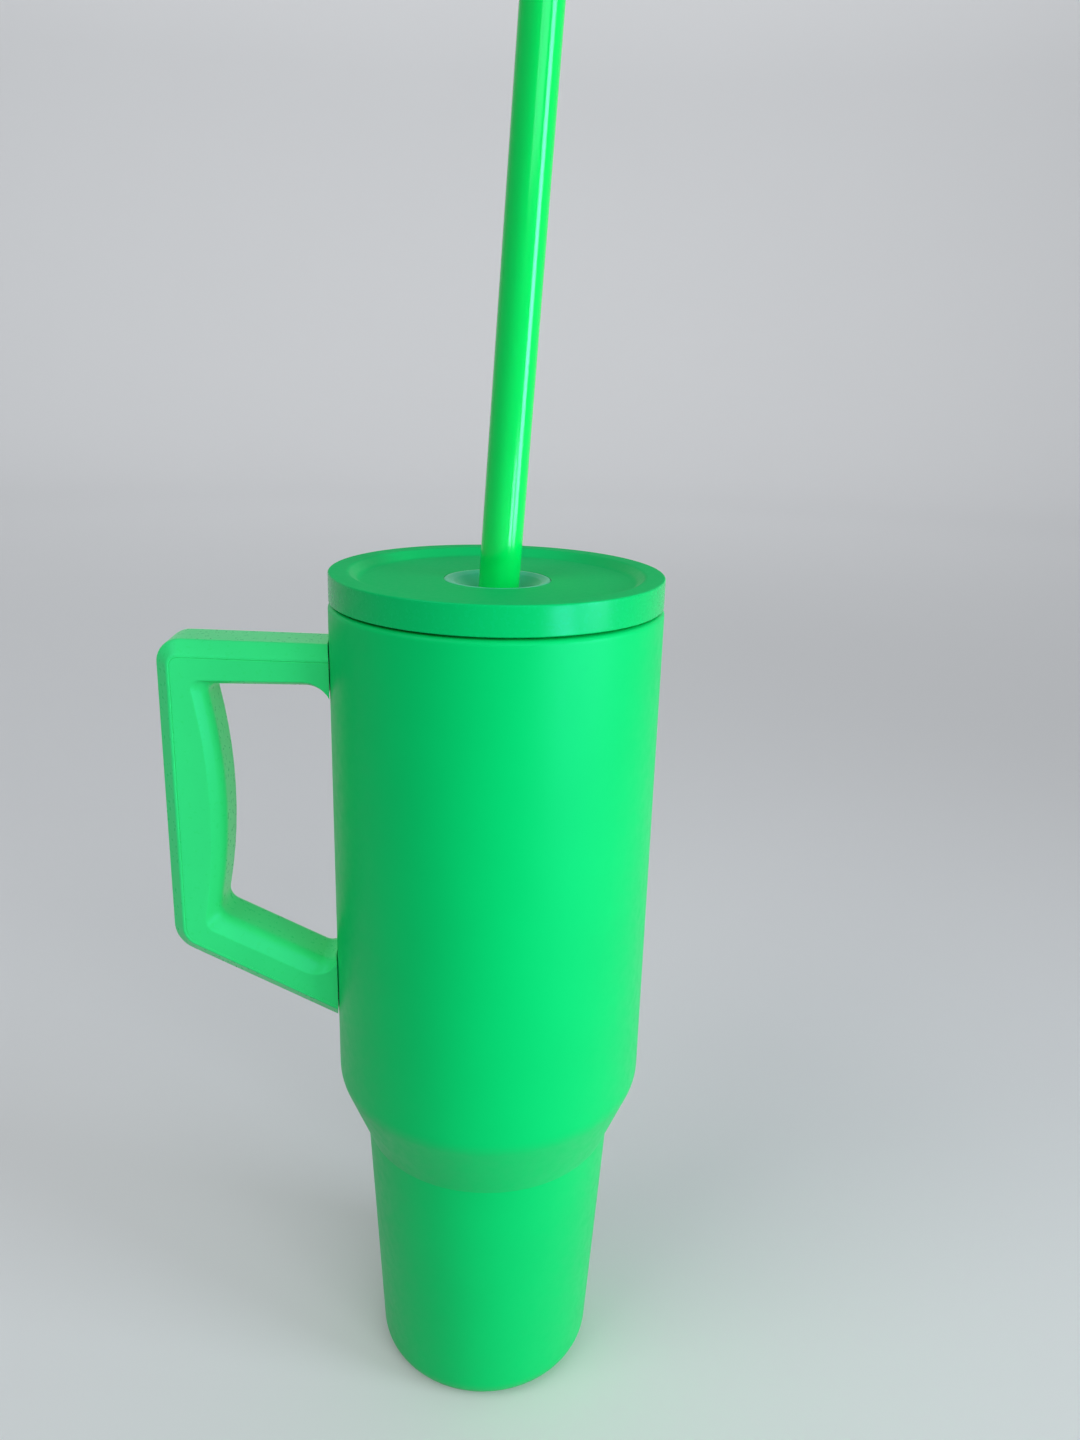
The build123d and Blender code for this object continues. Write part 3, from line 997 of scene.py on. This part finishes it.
@dataclass
class Handle:
    """The handle: an outer cover and an inner body, moulded and joined along a fine seam."""

    palette: Palette
    width: float = 20.8 * MM
    chamfer: float = 3.8 * MM
    seam: float = 4.6 * MM
    top_reach: float = 48.6 * MM
    low_reach: float = 49.1 * MM
    drop: float = 12.1 * MM
    height: float = 95.6 * MM
    rise: float = 1.0 * MM
    low_slope: float = math.radians(27.7)
    top_round: float = 7.0 * MM
    low_round: float = 9.5 * MM
    wall_gap: float = 0.3 * MM
    arm_thickness: float = 13.1 * MM
    opening_reach: float = 34.9 * MM
    opening_height: float = 72.8 * MM
    opening_slope: float = math.radians(26.9)
    opening_in_wall: float = 1.65 * MM
    bulge: float = 3.6 * MM
    opening_rounds: tuple[float, float, float, float] = (8.0 * MM, 3.0 * MM, 4.5 * MM, 4.2 * MM)
    crest_rounds: tuple[float, float, float, float] = (8.8 * MM, 2.6 * MM, 4.0 * MM, 7.5 * MM)
    bevel_depth: float = 3.0 * MM
    bevel_top: float = 1.8 * MM
    bevel_grip: float = 4.0 * MM
    bevel_low: float = 5.5 * MM
    cover_wall: float = 2.6 * MM
    skin: float = 2.8 * MM
    hollow_width: float = 14.0 * MM
    screw_reach: float = 14.5 * MM
    recess_radius: float = 3.3 * MM
    recess_depth: float = 2.6 * MM
    boss_depth: float = 4.0 * MM
    boss_length: float = 11.0 * MM
    root_depth: float = 5.0 * MM
    root_stand: float = 3.0 * MM
    root_reach: float = 7.0 * MM
    least_round: float = 1.0 * MM
    face_round: float = 0.7 * MM
    edge_round: float = 0.52 * MM
    seam_round: float = 0.25 * MM
    crest_round: float = 0.35 * MM
    inner_round: float = 2.2 * MM
    hollow_round: float = 0.2 * MM
    mouth_fit: float = 0.01 * MM
    mouth_overlap: float = 1 * MM
    grip_share: float = 0.3
    arc_steps: int = 10
    run_steps: int = 12
    section_steps: int = 6
    section_shares: tuple[float, float, float] = (0.1, 0.5, 0.9)
    wall_sides: int = 720
    recess_sides: int = 64

    def __post_init__(self) -> None:
        """Read the wall that the handle stands on from the frame."""
        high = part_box("outer_shell")[1]
        self.wall = high.x
        self.rim_height = high.z

    # -- paths in the XZ plane

    def _outer(self, depth: float) -> list[Bend]:
        """The handle's outside at a depth under its surface.

        Args:
            depth: The depth.

        Returns:
            The five bends of the path, of which only the second and fourth turn.
        """
        inside = -(self.wall - self.root_depth)
        top = self.rim_height - self.drop + self.rise
        low = top - self.height
        top_x = -(self.wall + self.top_reach)
        low_x = -(self.wall + self.low_reach)
        low_root = low + (low_x - inside) * math.tan(self.low_slope)
        line = [(inside, top - self.rise), (top_x, top), (low_x, low), (inside, low_root)]
        wall_top, top_bend, low_bend, wall_low = inset(line, depth)
        root_x = -(self.wall + self.root_stand)
        middle = ((top_bend[0] + low_bend[0]) / 2, (top_bend[1] + low_bend[1]) / 2)
        top_round = max(self.top_round - depth, self.least_round)
        low_round = max(self.low_round - depth, self.least_round)
        return [
            Bend(*at_across(wall_top, top_bend, root_x), self.root_reach),
            self._rounded(wall_top, top_bend, low_bend, top_round),
            Bend(*middle, self.grip_share * self.height),
            self._rounded(top_bend, low_bend, wall_low, low_round),
            Bend(*at_across(wall_low, low_bend, root_x), self.root_reach),
        ]

    def _rounded(self, before: Point, bend: Point, after: Point, radius: float) -> Bend:
        """A bend of a given radius."""
        reach = reach_of(radius, Vector(before), Vector(bend), Vector(after))
        return Bend(*bend, reach)

    def _opening(self, top: float, grip: float, low: float, rounds: Sequence[float]) -> list[Bend]:
        """The finger opening, grown into the handle.

        Args:
            top: How far it grows into the top arm.
            grip: How far it grows into the grip.
            low: How far it grows into the lower arm.
            rounds: The radii at the wall, the grip's top, the grip's bottom and the wall.

        Returns:
            The five bends of the path; the middle one is the grip's bulge.
        """
        wall_x = -(self.wall - self.opening_in_wall)
        grip_x = -(self.wall + self.opening_reach)
        ceiling = self.rim_height - self.drop + self.rise - self.arm_thickness
        slope = math.tan(self.opening_slope)
        grown_x = grip_x - grip
        grown_low = ceiling - self.opening_height - low
        wall_top = (wall_x, ceiling + top)
        grip_top = (grown_x, ceiling + top)
        grip_low = (grown_x, grown_low + slope * grip)
        wall_low = (wall_x, grown_low - slope * (wall_x - grip_x))
        middle = (grown_x + 2 * self.bulge, (grip_top[1] + grip_low[1]) / 2)
        below = (wall_x, wall_top[1] - self.opening_height / 2)
        bends = [
            self._rounded(below, wall_top, grip_top, rounds[0]),
            self._rounded(wall_top, grip_top, middle, rounds[1]),
            Bend(*middle, 0.0),
            self._rounded(middle, grip_low, wall_low, rounds[2]),
            self._rounded(grip_low, wall_low, below, rounds[3]),
        ]
        spare = 0.5 * MM
        side = (Vector(middle) - Vector(grip_top)).length
        reach = side - max(bends[1].reach, bends[3].reach) - spare
        bends[2] = Bend(*middle, reach)
        return bends

    def _path(self, bends: Sequence[Bend], start_down: bool) -> list[Vector]:
        """Sample a path at the same stations as every other path of the handle.

        Args:
            bends: The five bends.
            start_down: Whether the path comes up and goes down the wall at its ends.

        Returns:
            The path's points in the XZ plane.
        """
        corners = [bend.point() for bend in bends]
        if start_down:
            first = corners[0] + Vector((0.0, 0.0, -1.0))
            last = corners[-1] + Vector((0.0, 0.0, 1.0))
        else:
            first = 2 * corners[0] - corners[1]
            last = 2 * corners[-1] - corners[-2]
        around = [first, *corners, last]
        arcs = [
            blend_corner(around[i], around[i + 1], around[i + 2], bend.reach, self.arc_steps)
            for i, bend in enumerate(bends)
        ]
        points = list(arcs[0])
        for arc in arcs[1:]:
            start, end = points[-1], arc[0]
            points += [start.lerp(end, step / self.run_steps) for step in range(1, self.run_steps)]
            points += arc
        return points

    # -- cross-sections

    def _loft(self, name: str, rails: Sequence[tuple[list[Vector], float, float]]) -> Piece:
        """Loft a closed cross-section along the handle.

        Args:
            name: The piece's name.
            rails: For each corner of the cross-section on the front side, from the outside of the
                handle inward: its path, its distance from the middle plane, and its rounding.

        Returns:
            The lofted mesh object.
        """
        both = [(path, -offset, reach) for path, offset, reach in rails]
        both += [(path, offset, reach) for path, offset, reach in reversed(rails)]
        points: list[Vector] = []
        rings: list[list[int]] = []
        for station in range(len(both[0][0])):
            section = [path[station] + Vector((0.0, offset, 0.0)) for path, offset, _ in both]
            ring = self._section(section, [reach for _, _, reach in both])
            rings.append(list(range(len(points), len(points) + len(ring))))
            points += ring
        faces = [rings[0], list(reversed(rings[-1]))]
        for near, far in zip(rings, rings[1:]):
            for index in range(len(near)):
                after = (index + 1) % len(near)
                faces.append([near[after], near[index], far[index], far[after]])
        return mesh_object(name, points, faces)

    def _section(self, corners: list[Vector], reaches: list[float]) -> list[Vector]:
        """Round a cross-section's corners.

        Args:
            corners: The sharp corners.
            reaches: How far each rounding reaches.

        Returns:
            The rounded section, with a point close to each end of its straight runs.
        """
        arcs = []
        for index, (corner, reach) in enumerate(zip(corners, reaches)):
            before = corners[index - 1]
            after = corners[(index + 1) % len(corners)]
            reach_before = self._share_of((before - corner).length, reach, reaches[index - 1])
            reach_after = self._share_of((after - corner).length, reach, reaches[(index + 1) % len(reaches)])
            reach = min(reach_before, reach_after)
            arcs.append(blend_corner(before, corner, after, reach, self.section_steps))
        ring: list[Vector] = []
        for arc, following in zip(arcs, arcs[1:] + arcs[:1]):
            start, end = arc[-1], following[0]
            ring += arc
            ring += [start.lerp(end, share) for share in self.section_shares]
        return ring

    def _share_of(self, side: float, reach: float, other: float) -> float:
        """How far a rounding may reach along a side that another rounding shares.

        Args:
            side: The side's length.
            reach: How far the rounding should reach.
            other: How far the rounding at the side's other end should reach.

        Returns:
            The reach, or its share of the side where the two together are too long.
        """
        most = 0.95
        return min(reach, most * side * reach / (reach + other))

    def _face_frame(self, near: Point, far: Point) -> Matrix:
        """A frame on an arm's face at its screw.

        Args:
            near: A point on the face towards the wall.
            far: A point on the face away from the wall.

        Returns:
            A matrix whose X runs along the arm and whose Z goes into it.
        """
        across, height = at_across(near, far, -(self.wall + self.screw_reach))
        along = Vector((far[0] - near[0], 0.0, far[1] - near[1])).normalized()
        into = Vector((along.z, 0.0, -along.x))
        side = into.cross(along)
        turn = Matrix((along, side, into)).transposed().to_4x4()
        return Matrix.Translation((across, 0.0, height)) @ turn

    def _screw_frames(self) -> tuple[Matrix, Matrix]:
        """The screws' frames, on the undersides of the top and the lower arm."""
        opening = self._opening(0.0, 0.0, 0.0, self.opening_rounds)
        outer = self._outer(0.0)
        top = self._face_frame(opening[0].pair(), opening[1].pair())
        low = self._face_frame(outer[4].pair(), outer[3].pair())
        return top, low

    # -- pieces

    def _hollow(self) -> Piece:
        """The space inside both mouldings, less the two screw bosses.

        Returns:
            The mesh to cut away.
        """
        outer = self._path(self._outer(self.cover_wall), False)
        inner_bends = self._opening(self.skin, self.skin, self.skin, self.opening_rounds)
        inner = self._path(inner_bends, True)
        half = self.hollow_width / 2
        hollow = self._loft("hollow", [(path, half, self.hollow_round) for path in (outer, inner)])
        mouth = -(self.wall - self.opening_in_wall + self.mouth_fit)
        for vertex in hollow.data.vertices:
            if vertex.co.x > mouth:
                vertex.co.x += self.mouth_overlap
        size = (self.boss_length, 2 * self.hollow_width, 2 * self.boss_depth)
        carve(hollow, [block("boss", size, arm) for arm in self._screw_frames()])
        return hollow

    def _finish_piece(self, piece: Piece, recess_frame: Matrix) -> Piece:
        """Hollow a moulding, sink its screw's recess and trim it to the wall.

        Args:
            piece: The solid moulding.
            recess_frame: The frame of the screw that goes in through it.

        Returns:
            The finished moulding.
        """
        middle = Matrix.Translation((0.0, 0.0, self.rim_height / 2))
        wall = drum("wall", self.wall + self.wall_gap, 2 * self.rim_height, middle, self.wall_sides)
        recess = drum("recess", self.recess_radius, 2 * self.recess_depth, recess_frame, self.recess_sides)
        carve(piece, [wall, recess, self._hollow()])
        even_normals(piece)
        return piece

    def build_cover(self) -> Piece:
        """Loft the outer moulding, with its chamfers.

        Returns:
            The cover.
        """
        half = self.width / 2
        face = self._path(self._outer(0.0), False)
        edge = self._path(self._outer(self.chamfer), False)
        seam = self._path(self._outer(self.seam), False)
        rails = [
            (face, half - self.chamfer, self.face_round),
            (edge, half, self.edge_round),
            (seam, half, self.seam_round),
        ]
        return self._finish_piece(self._loft("handle_cover_moulded", rails), self._screw_frames()[1])

    def build_body(self) -> Piece:
        """Loft the inner moulding, with its soft bevels round the finger opening.

        Returns:
            The body.
        """
        half = self.width / 2
        seam = self._path(self._outer(self.seam), False)
        crest_bends = self._opening(self.bevel_top, self.bevel_grip, self.bevel_low, self.crest_rounds)
        crest = self._path(crest_bends, True)
        inner = self._path(self._opening(0.0, 0.0, 0.0, self.opening_rounds), True)
        rails = [
            (seam, half, self.seam_round),
            (crest, half, self.crest_round),
            (inner, half - self.bevel_depth, self.inner_round),
        ]
        return self._finish_piece(self._loft("handle_body_moulded", rails), self._screw_frames()[0])

    def dress(self) -> None:
        """Build, finish and mount the handle's pieces."""
        place(self.build_cover(), "mug", self.palette.handle, "handle_plastic", "handle_cover")
        place(self.build_body(), "mug", self.palette.handle, "handle_plastic", "handle_body")
        dress_node("screw_caps", self.palette.cap)
        for node in ("upper_bracket", "lower_bracket", "bracket_nuts", "handle_screws"):
            dress_node(node, self.palette.fixing)


def block(name: str, size: tuple[float, float, float], where: Matrix) -> Piece:
    """A box centred on a frame.

    Args:
        name: The object's name.
        size: Its three sides.
        where: The frame.

    Returns:
        The mesh object.
    """
    half = [side / 2 for side in size]
    signs = [(x, y, z) for x in (-1, 1) for y in (-1, 1) for z in (-1, 1)]
    points = [where @ Vector([sign * side for sign, side in zip(corner, half)]) for corner in signs]
    faces = [(0, 1, 3, 2), (4, 6, 7, 5), (0, 4, 5, 1), (2, 3, 7, 6), (0, 2, 6, 4), (1, 5, 7, 3)]
    return mesh_object(name, points, faces)


def drum(name: str, radius: float, height: float, where: Matrix, segments: int) -> Piece:
    """A round bar centred on a frame, along its Z, with no corner on the frame's own planes.

    Args:
        name: The object's name.
        radius: Its radius.
        height: Its height.
        where: The frame.
        segments: How many sides it has.

    Returns:
        The mesh object.
    """
    off_plane = 0.37
    points = []
    for level in (-height / 2, height / 2):
        for segment in range(segments):
            angle = TURN * (segment + off_plane) / segments
            points.append(where @ Vector((radius * math.cos(angle), radius * math.sin(angle), level)))
    sides = [
        (segment, (segment + 1) % segments, segments + (segment + 1) % segments, segments + segment)
        for segment in range(segments)
    ]
    caps = [tuple(reversed(range(segments))), tuple(range(segments, 2 * segments))]
    return mesh_object(name, points, [*sides, *caps])


# ---------------------------------------------------------------- the lid


@dataclass
class Lid:
    """The screwed lid: its cover, its threaded plug, its gasket and the straw's seal."""

    palette: Palette
    lathe: Lathe = field(default_factory=Lathe)
    thread: QuickThread = field(default_factory=QuickThread)
    wall: float = 2.0 * MM
    edge_round: float = 0.5 * MM
    land_width: float = 5.6 * MM
    blend_width: float = 3.0 * MM
    dish: float = 2.3 * MM
    plug_wall: float = 2.4 * MM
    plug_clearance: float = 1.9 * MM
    seat_clearance: float = 0.1 * MM
    seat_width: float = 1.8 * MM
    stop_flange: float = 2.0 * MM
    chimney_radius: float = 14.2 * MM
    gasket_thickness: float = 2.7 * MM
    gasket_fit: float = 0.06 * MM
    gasket_round: float = 0.1 * MM
    lip_depth: float = 1.0 * MM
    lip_round: float = 0.25 * MM
    groove_clearance: float = 0.03 * MM
    thread_drop: float = 12.9 * MM
    thread_clearance: float = 0.5 * MM
    thread_margin: float = 1.05 * MM
    thread_stop: float = 1.0 * MM
    thread_rows: int = 44
    land_round: float = 2.0 * MM
    dish_round: float = 3.2 * MM
    hollow_round: float = 1.0 * MM
    plug_round: float = 1.5 * MM
    seal_fit: float = 0.1 * MM
    seal_flange: float = 1.2 * MM
    seal_neck: float = 13.0 * MM
    seal_bead: float = 0.8 * MM
    seal_bead_height: float = 1.2 * MM
    seal_skin: float = 1.3 * MM
    collar_height: float = 3.0 * MM
    straw_radius: float = 5.85 * MM
    straw_fit: float = 0.05 * MM
    straw_offset: float = 0.5 * MM
    straw_lean: float = math.radians(3.2)

    def __post_init__(self) -> None:
        """Read the lid's outer size from the frame."""
        low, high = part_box("lid_top")
        self.radius = high.x
        self.bottom = low.z
        self.top = high.z
        self.rim_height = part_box("outer_shell")[1].z
        self.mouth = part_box("lid_gasket")[1].x + self.gasket_fit
        self.plug_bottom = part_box("lid_base")[0].z
        self.seal_low, self.seal_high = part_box("straw_seal")
        self.floor = self.top - self.dish
        self.ceiling = self.floor - self.wall

    def build_top(self) -> Piece:
        """Turn the visible cover.

        Returns:
            The cover.
        """
        land = self.radius - self.land_width
        floor_edge = land - self.blend_width
        skirt = self.radius - self.wall
        seat = self.seal_high.x + self.seal_fit
        neck = self.seal_neck + self.seal_fit
        under = self.top - self.wall
        outline = Outline(
            [
                Corner(self.radius, self.bottom, 0.25 * MM),
                Corner(self.radius, self.top, self.edge_round),
                Corner(land, self.top, self.land_round),
                Corner(floor_edge, self.floor, self.dish_round),
                Corner(seat, self.floor, 0.2 * MM),
                Corner(seat, self.floor - self.seal_flange),
                Corner(neck, self.floor - self.seal_flange),
                Corner(neck, self.ceiling),
                Corner(floor_edge - self.wall / 2, self.ceiling, self.hollow_round),
                Corner(land - self.wall / 2, under, self.hollow_round),
                Corner(skirt, under, 0.4 * MM),
                Corner(skirt, self.bottom),
            ],
            arc_steps=8,
        )
        return self.lathe.turn("lid_cover_moulded", outline)

    def build_base(self) -> Piece:
        """Turn the threaded plug with its stop flange and chimney.

        Returns:
            The plug.
        """
        skirt = self.radius - self.wall
        plug = self.mouth - self.plug_clearance
        inner = plug - self.plug_wall
        chimney = self.chimney_radius + self.wall
        groove_low, groove_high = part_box("lid_gasket")
        groove = self.mouth - self.gasket_thickness
        stop = self.rim_height + self.seat_clearance
        seat = self.mouth + self.seat_width
        flange_low = self.bottom + self.seat_clearance
        flange_high = flange_low + self.stop_flange
        zone_low = self.plug_bottom + self.thread_margin
        zone_high = groove_low.z - self.thread_stop
        outline = Outline(
            [
                Corner(self.chimney_radius, self.plug_bottom, 0.4 * MM),
                Corner(plug, self.plug_bottom, 1.0 * MM),
                *threaded_wall(plug, zone_low, zone_high, self.thread_rows),
                Corner(plug, groove_low.z, 0.2 * MM),
                Corner(groove, groove_low.z),
                Corner(groove, groove_high.z),
                Corner(plug, groove_high.z, 0.2 * MM),
                Corner(plug, stop),
                Corner(seat, stop, 0.3 * MM),
                Corner(seat, flange_low),
                Corner(skirt, flange_low),
                Corner(skirt, flange_high),
                Corner(inner, flange_high),
                Corner(inner, self.plug_bottom + self.wall, self.plug_round),
                Corner(chimney, self.plug_bottom + self.wall, self.plug_round),
                Corner(chimney, self.ceiling),
                Corner(self.chimney_radius, self.ceiling),
            ]
        )
        ridge = self.mouth - self.thread_clearance - plug
        low = self.rim_height - self.thread_drop
        return self.lathe.turn("lid_plug_moulded", outline, self.thread.swelling(ridge, low, plug))

    def build_gasket(self) -> Piece:
        """Turn the two-lipped gasket, a hair smaller than its groove, in which the plug turns.

        Returns:
            The gasket.
        """
        low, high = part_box("lid_gasket")
        lip = high.x
        inner = self.mouth - self.gasket_thickness + self.groove_clearance
        trough = lip - self.lip_depth
        bottom = low.z + self.groove_clearance
        top = high.z - self.groove_clearance
        step = (top - bottom) / 4
        corners = [Corner(across, bottom, self.gasket_round) for across in (inner, trough)]
        for row, across in enumerate((lip, trough, lip), start=1):
            corners.append(Corner(across, bottom + row * step, self.lip_round))
        corners += [Corner(across, top, self.gasket_round) for across in (trough, inner)]
        return self.lathe.turn("lid_gasket_soft", Outline(corners, arc_steps=4))

    def build_seal(self) -> Piece:
        """Turn the straw's funnel seal and lean its collar with the straw.

        Returns:
            The seal.
        """
        top = self.seal_high.z
        low = self.seal_low.z
        under = top - self.seal_flange
        bead = self.seal_neck + self.seal_bead
        bead_low = self.ceiling - self.seal_bead_height
        bore = self.straw_radius + self.straw_fit
        collar = bore + self.seal_skin + 1.0 * MM
        collar_top = low + self.collar_height
        mouth = self.seal_neck - self.seal_skin + 1.0 * MM
        outline = Outline(
            [
                Corner(bore, low, 0.25 * MM),
                Corner(collar, low, 0.5 * MM),
                Corner(collar, collar_top, 1.0 * MM),
                Corner(self.seal_neck, bead_low, 0.15 * MM),
                Corner(bead, bead_low, 0.35 * MM),
                Corner(bead, self.ceiling),
                Corner(self.seal_neck, self.ceiling),
                Corner(self.seal_neck, under),
                Corner(self.seal_high.x, under),
                Corner(self.seal_high.x, top, 0.35 * MM),
                Corner(self.seal_high.x - 1.0 * MM, top, 0.4 * MM),
                Corner(mouth, top - 0.7 * MM, 1.2 * MM),
                Corner(bore + 1.1 * MM, collar_top + 0.2 * MM, 1.2 * MM),
                Corner(bore, collar_top - 0.9 * MM, 0.4 * MM),
            ],
            arc_steps=6,
        )
        seal = self.lathe.turn("straw_seal_soft", outline)
        for vertex in seal.data.vertices:
            reach = Vector((vertex.co.x, vertex.co.y)).length
            share = smooth((self.seal_neck - reach) / (self.seal_neck - collar))
            lean = self.straw_offset + (vertex.co.z - self.floor) * math.tan(self.straw_lean)
            vertex.co.x += share * lean
        return seal

    def dress(self) -> None:
        """Build, finish and mount the lid's pieces."""
        place(self.build_top(), "lid", self.palette.lid, "lid_plastic", "lid_top")
        place(self.build_base(), "lid", self.palette.lid, "lid_plastic", "lid_base")
        place(self.build_seal(), "lid", self.palette.seal, "seal_silicone", "straw_seal")
        place(self.build_gasket(), "lid_seal", self.palette.gasket, "gasket_silicone", "lid_gasket")


@dataclass
class Straw:
    """The straight glossy straw, leaning in the lid's seal."""

    palette: Palette
    lid: Lid
    lathe: Lathe = field(default_factory=lambda: Lathe(96))
    wall: float = 0.85 * MM
    length: float = 316.0 * MM
    rise: float = 157.0 * MM
    lip: float = 0.38 * MM

    def build(self) -> Piece:
        """Turn the tube and lean it into place.

        Returns:
            The straw.
        """
        low = self.rise - self.length
        outer = self.lid.straw_radius
        inner = outer - self.wall
        ends = ((inner, low), (outer, low), (outer, self.rise), (inner, self.rise))
        outline = Outline(
            [Corner(across, height, self.lip) for across, height in ends],
            arc_steps=5,
            longest_run=20 * MM,
        )
        tube = self.lathe.turn("straw_tube", outline)
        seat = Matrix.Translation((self.lid.straw_offset, 0.0, self.lid.floor))
        tube.data.transform(seat @ Matrix.Rotation(self.lid.straw_lean, 4, "Y"))
        return tube

    def dress(self) -> None:
        """Build, finish and mount the straw."""
        place(self.build(), "straw", self.palette.straw, "straw_plastic", "straw")


# ---------------------------------------------------------------- studio


class Soft(Enum):
    """The studio's lamps: place, aim, size, power, colour and spread in degrees."""

    KEY = ((1.14, -0.51, 0.4), (0.0, 0.0, 0.4), (0.46, 0.76), 2.7, (0.84, 0.94, 1.0), 80)
    FRONT = ((0.9, -2.15, 1.3), (0.0, 0.0, 0.2), (1.7, 1.3), 19.5, (0.96, 0.98, 1.0), 180)
    FILL = ((-1.5, -1.2, 1.9), (0.0, 0.0, 0.2), (1.5, 1.5), 14.0, (1.0, 0.98, 0.96), 180)
    LOW = ((0.5, -0.55, 0.12), (-0.07, 0.0, 0.2), (0.2, 0.18), 0.2, (0.9, 0.96, 1.0), 70)
    BACKDROP = ((0.0, 2.0, 2.3), (0.0, 3.7, 0.8), (3.2, 0.8), 23.0, (1.0, 1.0, 1.0), 180)


@dataclass
class Studio:
    """A pale floor that curves up all round, soft lamps and the camera."""

    floor_seen: Colour = tint(236, 237, 239)
    floor_bounce: Colour = tint(168, 170, 172)
    drift_size: float = 0.4
    drift_share: float = 0.985
    sky: Colour = tint(236, 239, 242)
    floor_radius: float = 2.6
    wall_height: float = 3.0
    wall_round: float = 1.2
    camera_place: tuple[float, float, float] = (0.0, -0.32154, 0.32673)
    yaw: float = 0.04167
    pitch: float = -0.30682
    roll: float = 0.03003
    focal_share: float = 0.78390972
    world_level: float = 0.54

    def _bowl(self) -> Piece:
        """Turn the floor as a wide bowl, whose edge lies far above the mug.

        Returns:
            The floor.
        """
        steps = 16
        segments = 96
        profile = [(self.floor_radius * share, 0.0) for share in (0.0, 0.08, 0.3, 0.6, 1.0)]
        for step in range(1, steps + 1):
            angle = math.pi / 2 * step / steps
            profile.append((
                self.floor_radius + self.wall_round * math.sin(angle),
                self.wall_round * (1 - math.cos(angle)),
            ))
        profile.append((profile[-1][0], self.wall_height))
        points = [
            (radius * math.cos(TURN * s / segments), radius * math.sin(TURN * s / segments), height)
            for radius, height in profile
            for s in range(segments)
        ]
        faces = [
            (row * segments + s, row * segments + (s + 1) % segments,
             (row + 1) * segments + (s + 1) % segments, (row + 1) * segments + s)
            for row in range(len(profile) - 1)
            for s in range(segments)
        ]
        return mesh_object("studio_floor", points, faces)

    def build_floor(self) -> None:
        """Lay the floor, which looks paler to the camera than the light that it throws back."""
        floor = self._bowl()
        sheet = Sheet("studio_floor_pale")
        sheet.set(Specular_IOR_Level=0.2, Roughness=0.8)
        drift = sheet.noise(self.drift_size, 2)
        seen = sheet.mixed(drift, shaded(self.floor_seen, self.drift_share), self.floor_seen)
        path = sheet.tree.nodes.new("ShaderNodeLightPath")
        sight = path.outputs["Is Camera Ray"]
        for kind in ("Is Glossy Ray", "Is Transmission Ray"):
            either = sheet.tree.nodes.new("ShaderNodeMath")
            either.operation = "MAXIMUM"
            sheet.join(sight, either.inputs[0])
            sheet.join(path.outputs[kind], either.inputs[1])
            sight = either.outputs[0]
        sheet.colour(sheet.mixed(sheet.ranged(sight, (0.0, 1.0), (1.0, 0.0)), seen, self.floor_bounce))
        floor.data.materials.append(sheet.material)

    def build_lamps(self) -> None:
        """Hang the soft lamps and set the world's level."""
        for soft in Soft:
            where, aim, size, power, colour, spread = soft.value
            light = bpy.data.lights.new(f"lamp_{soft.name.lower()}", "AREA")
            light.shape = "RECTANGLE"
            light.size, light.size_y = size
            light.energy = power
            light.color = colour
            light.spread = math.radians(spread)
            lamp = bpy.data.objects.new(light.name, light)
            lamp.location = where
            lamp.visible_camera = False
            lamp.rotation_euler = (Vector(aim) - Vector(where)).to_track_quat("-Z", "Y").to_euler()
            bpy.context.scene.collection.objects.link(lamp)
        world = bpy.data.worlds.new("studio_world")
        world.use_nodes = True
        background = world.node_tree.nodes["Background"]
        background.inputs["Color"].default_value = self.sky
        background.inputs["Strength"].default_value = self.world_level
        bpy.context.scene.world = world

    def build_camera(self) -> None:
        """Set the camera at the height, distance and turn that show the mug from in front."""
        ahead = Vector((
            math.sin(self.yaw) * math.cos(self.pitch),
            math.cos(self.yaw) * math.cos(self.pitch),
            math.sin(self.pitch),
        ))
        level = Vector((math.cos(self.yaw), -math.sin(self.yaw), 0.0))
        upright = level.cross(ahead)
        right = level * math.cos(self.roll) + upright * math.sin(self.roll)
        up = upright * math.cos(self.roll) - level * math.sin(self.roll)
        data = bpy.data.cameras.new("camera")
        data.lens = self.focal_share * data.sensor_width
        data.clip_start = 0.01
        camera = bpy.data.objects.new("camera", data)
        turn = Matrix((right, up, -ahead)).transposed().to_4x4()
        camera.matrix_world = Matrix.Translation(self.camera_place) @ turn
        bpy.context.scene.collection.objects.link(camera)
        bpy.context.scene.camera = camera
        bpy.context.scene.view_settings.view_transform = "Standard"

    def build(self) -> None:
        """Build the floor, the lamps and the camera."""
        self.build_floor()
        self.build_lamps()
        self.build_camera()


def main() -> None:
    """Build and dress the whole mug in its studio."""
    logging.basicConfig(level=logging.INFO, format="%(name)s: %(message)s")
    palette = Palette()
    lid = Lid(palette)
    for group in (Body(palette), Handle(palette), lid, Straw(palette, lid)):
        group.dress()
    Studio().build()


if __name__ == "__main__":
    main()
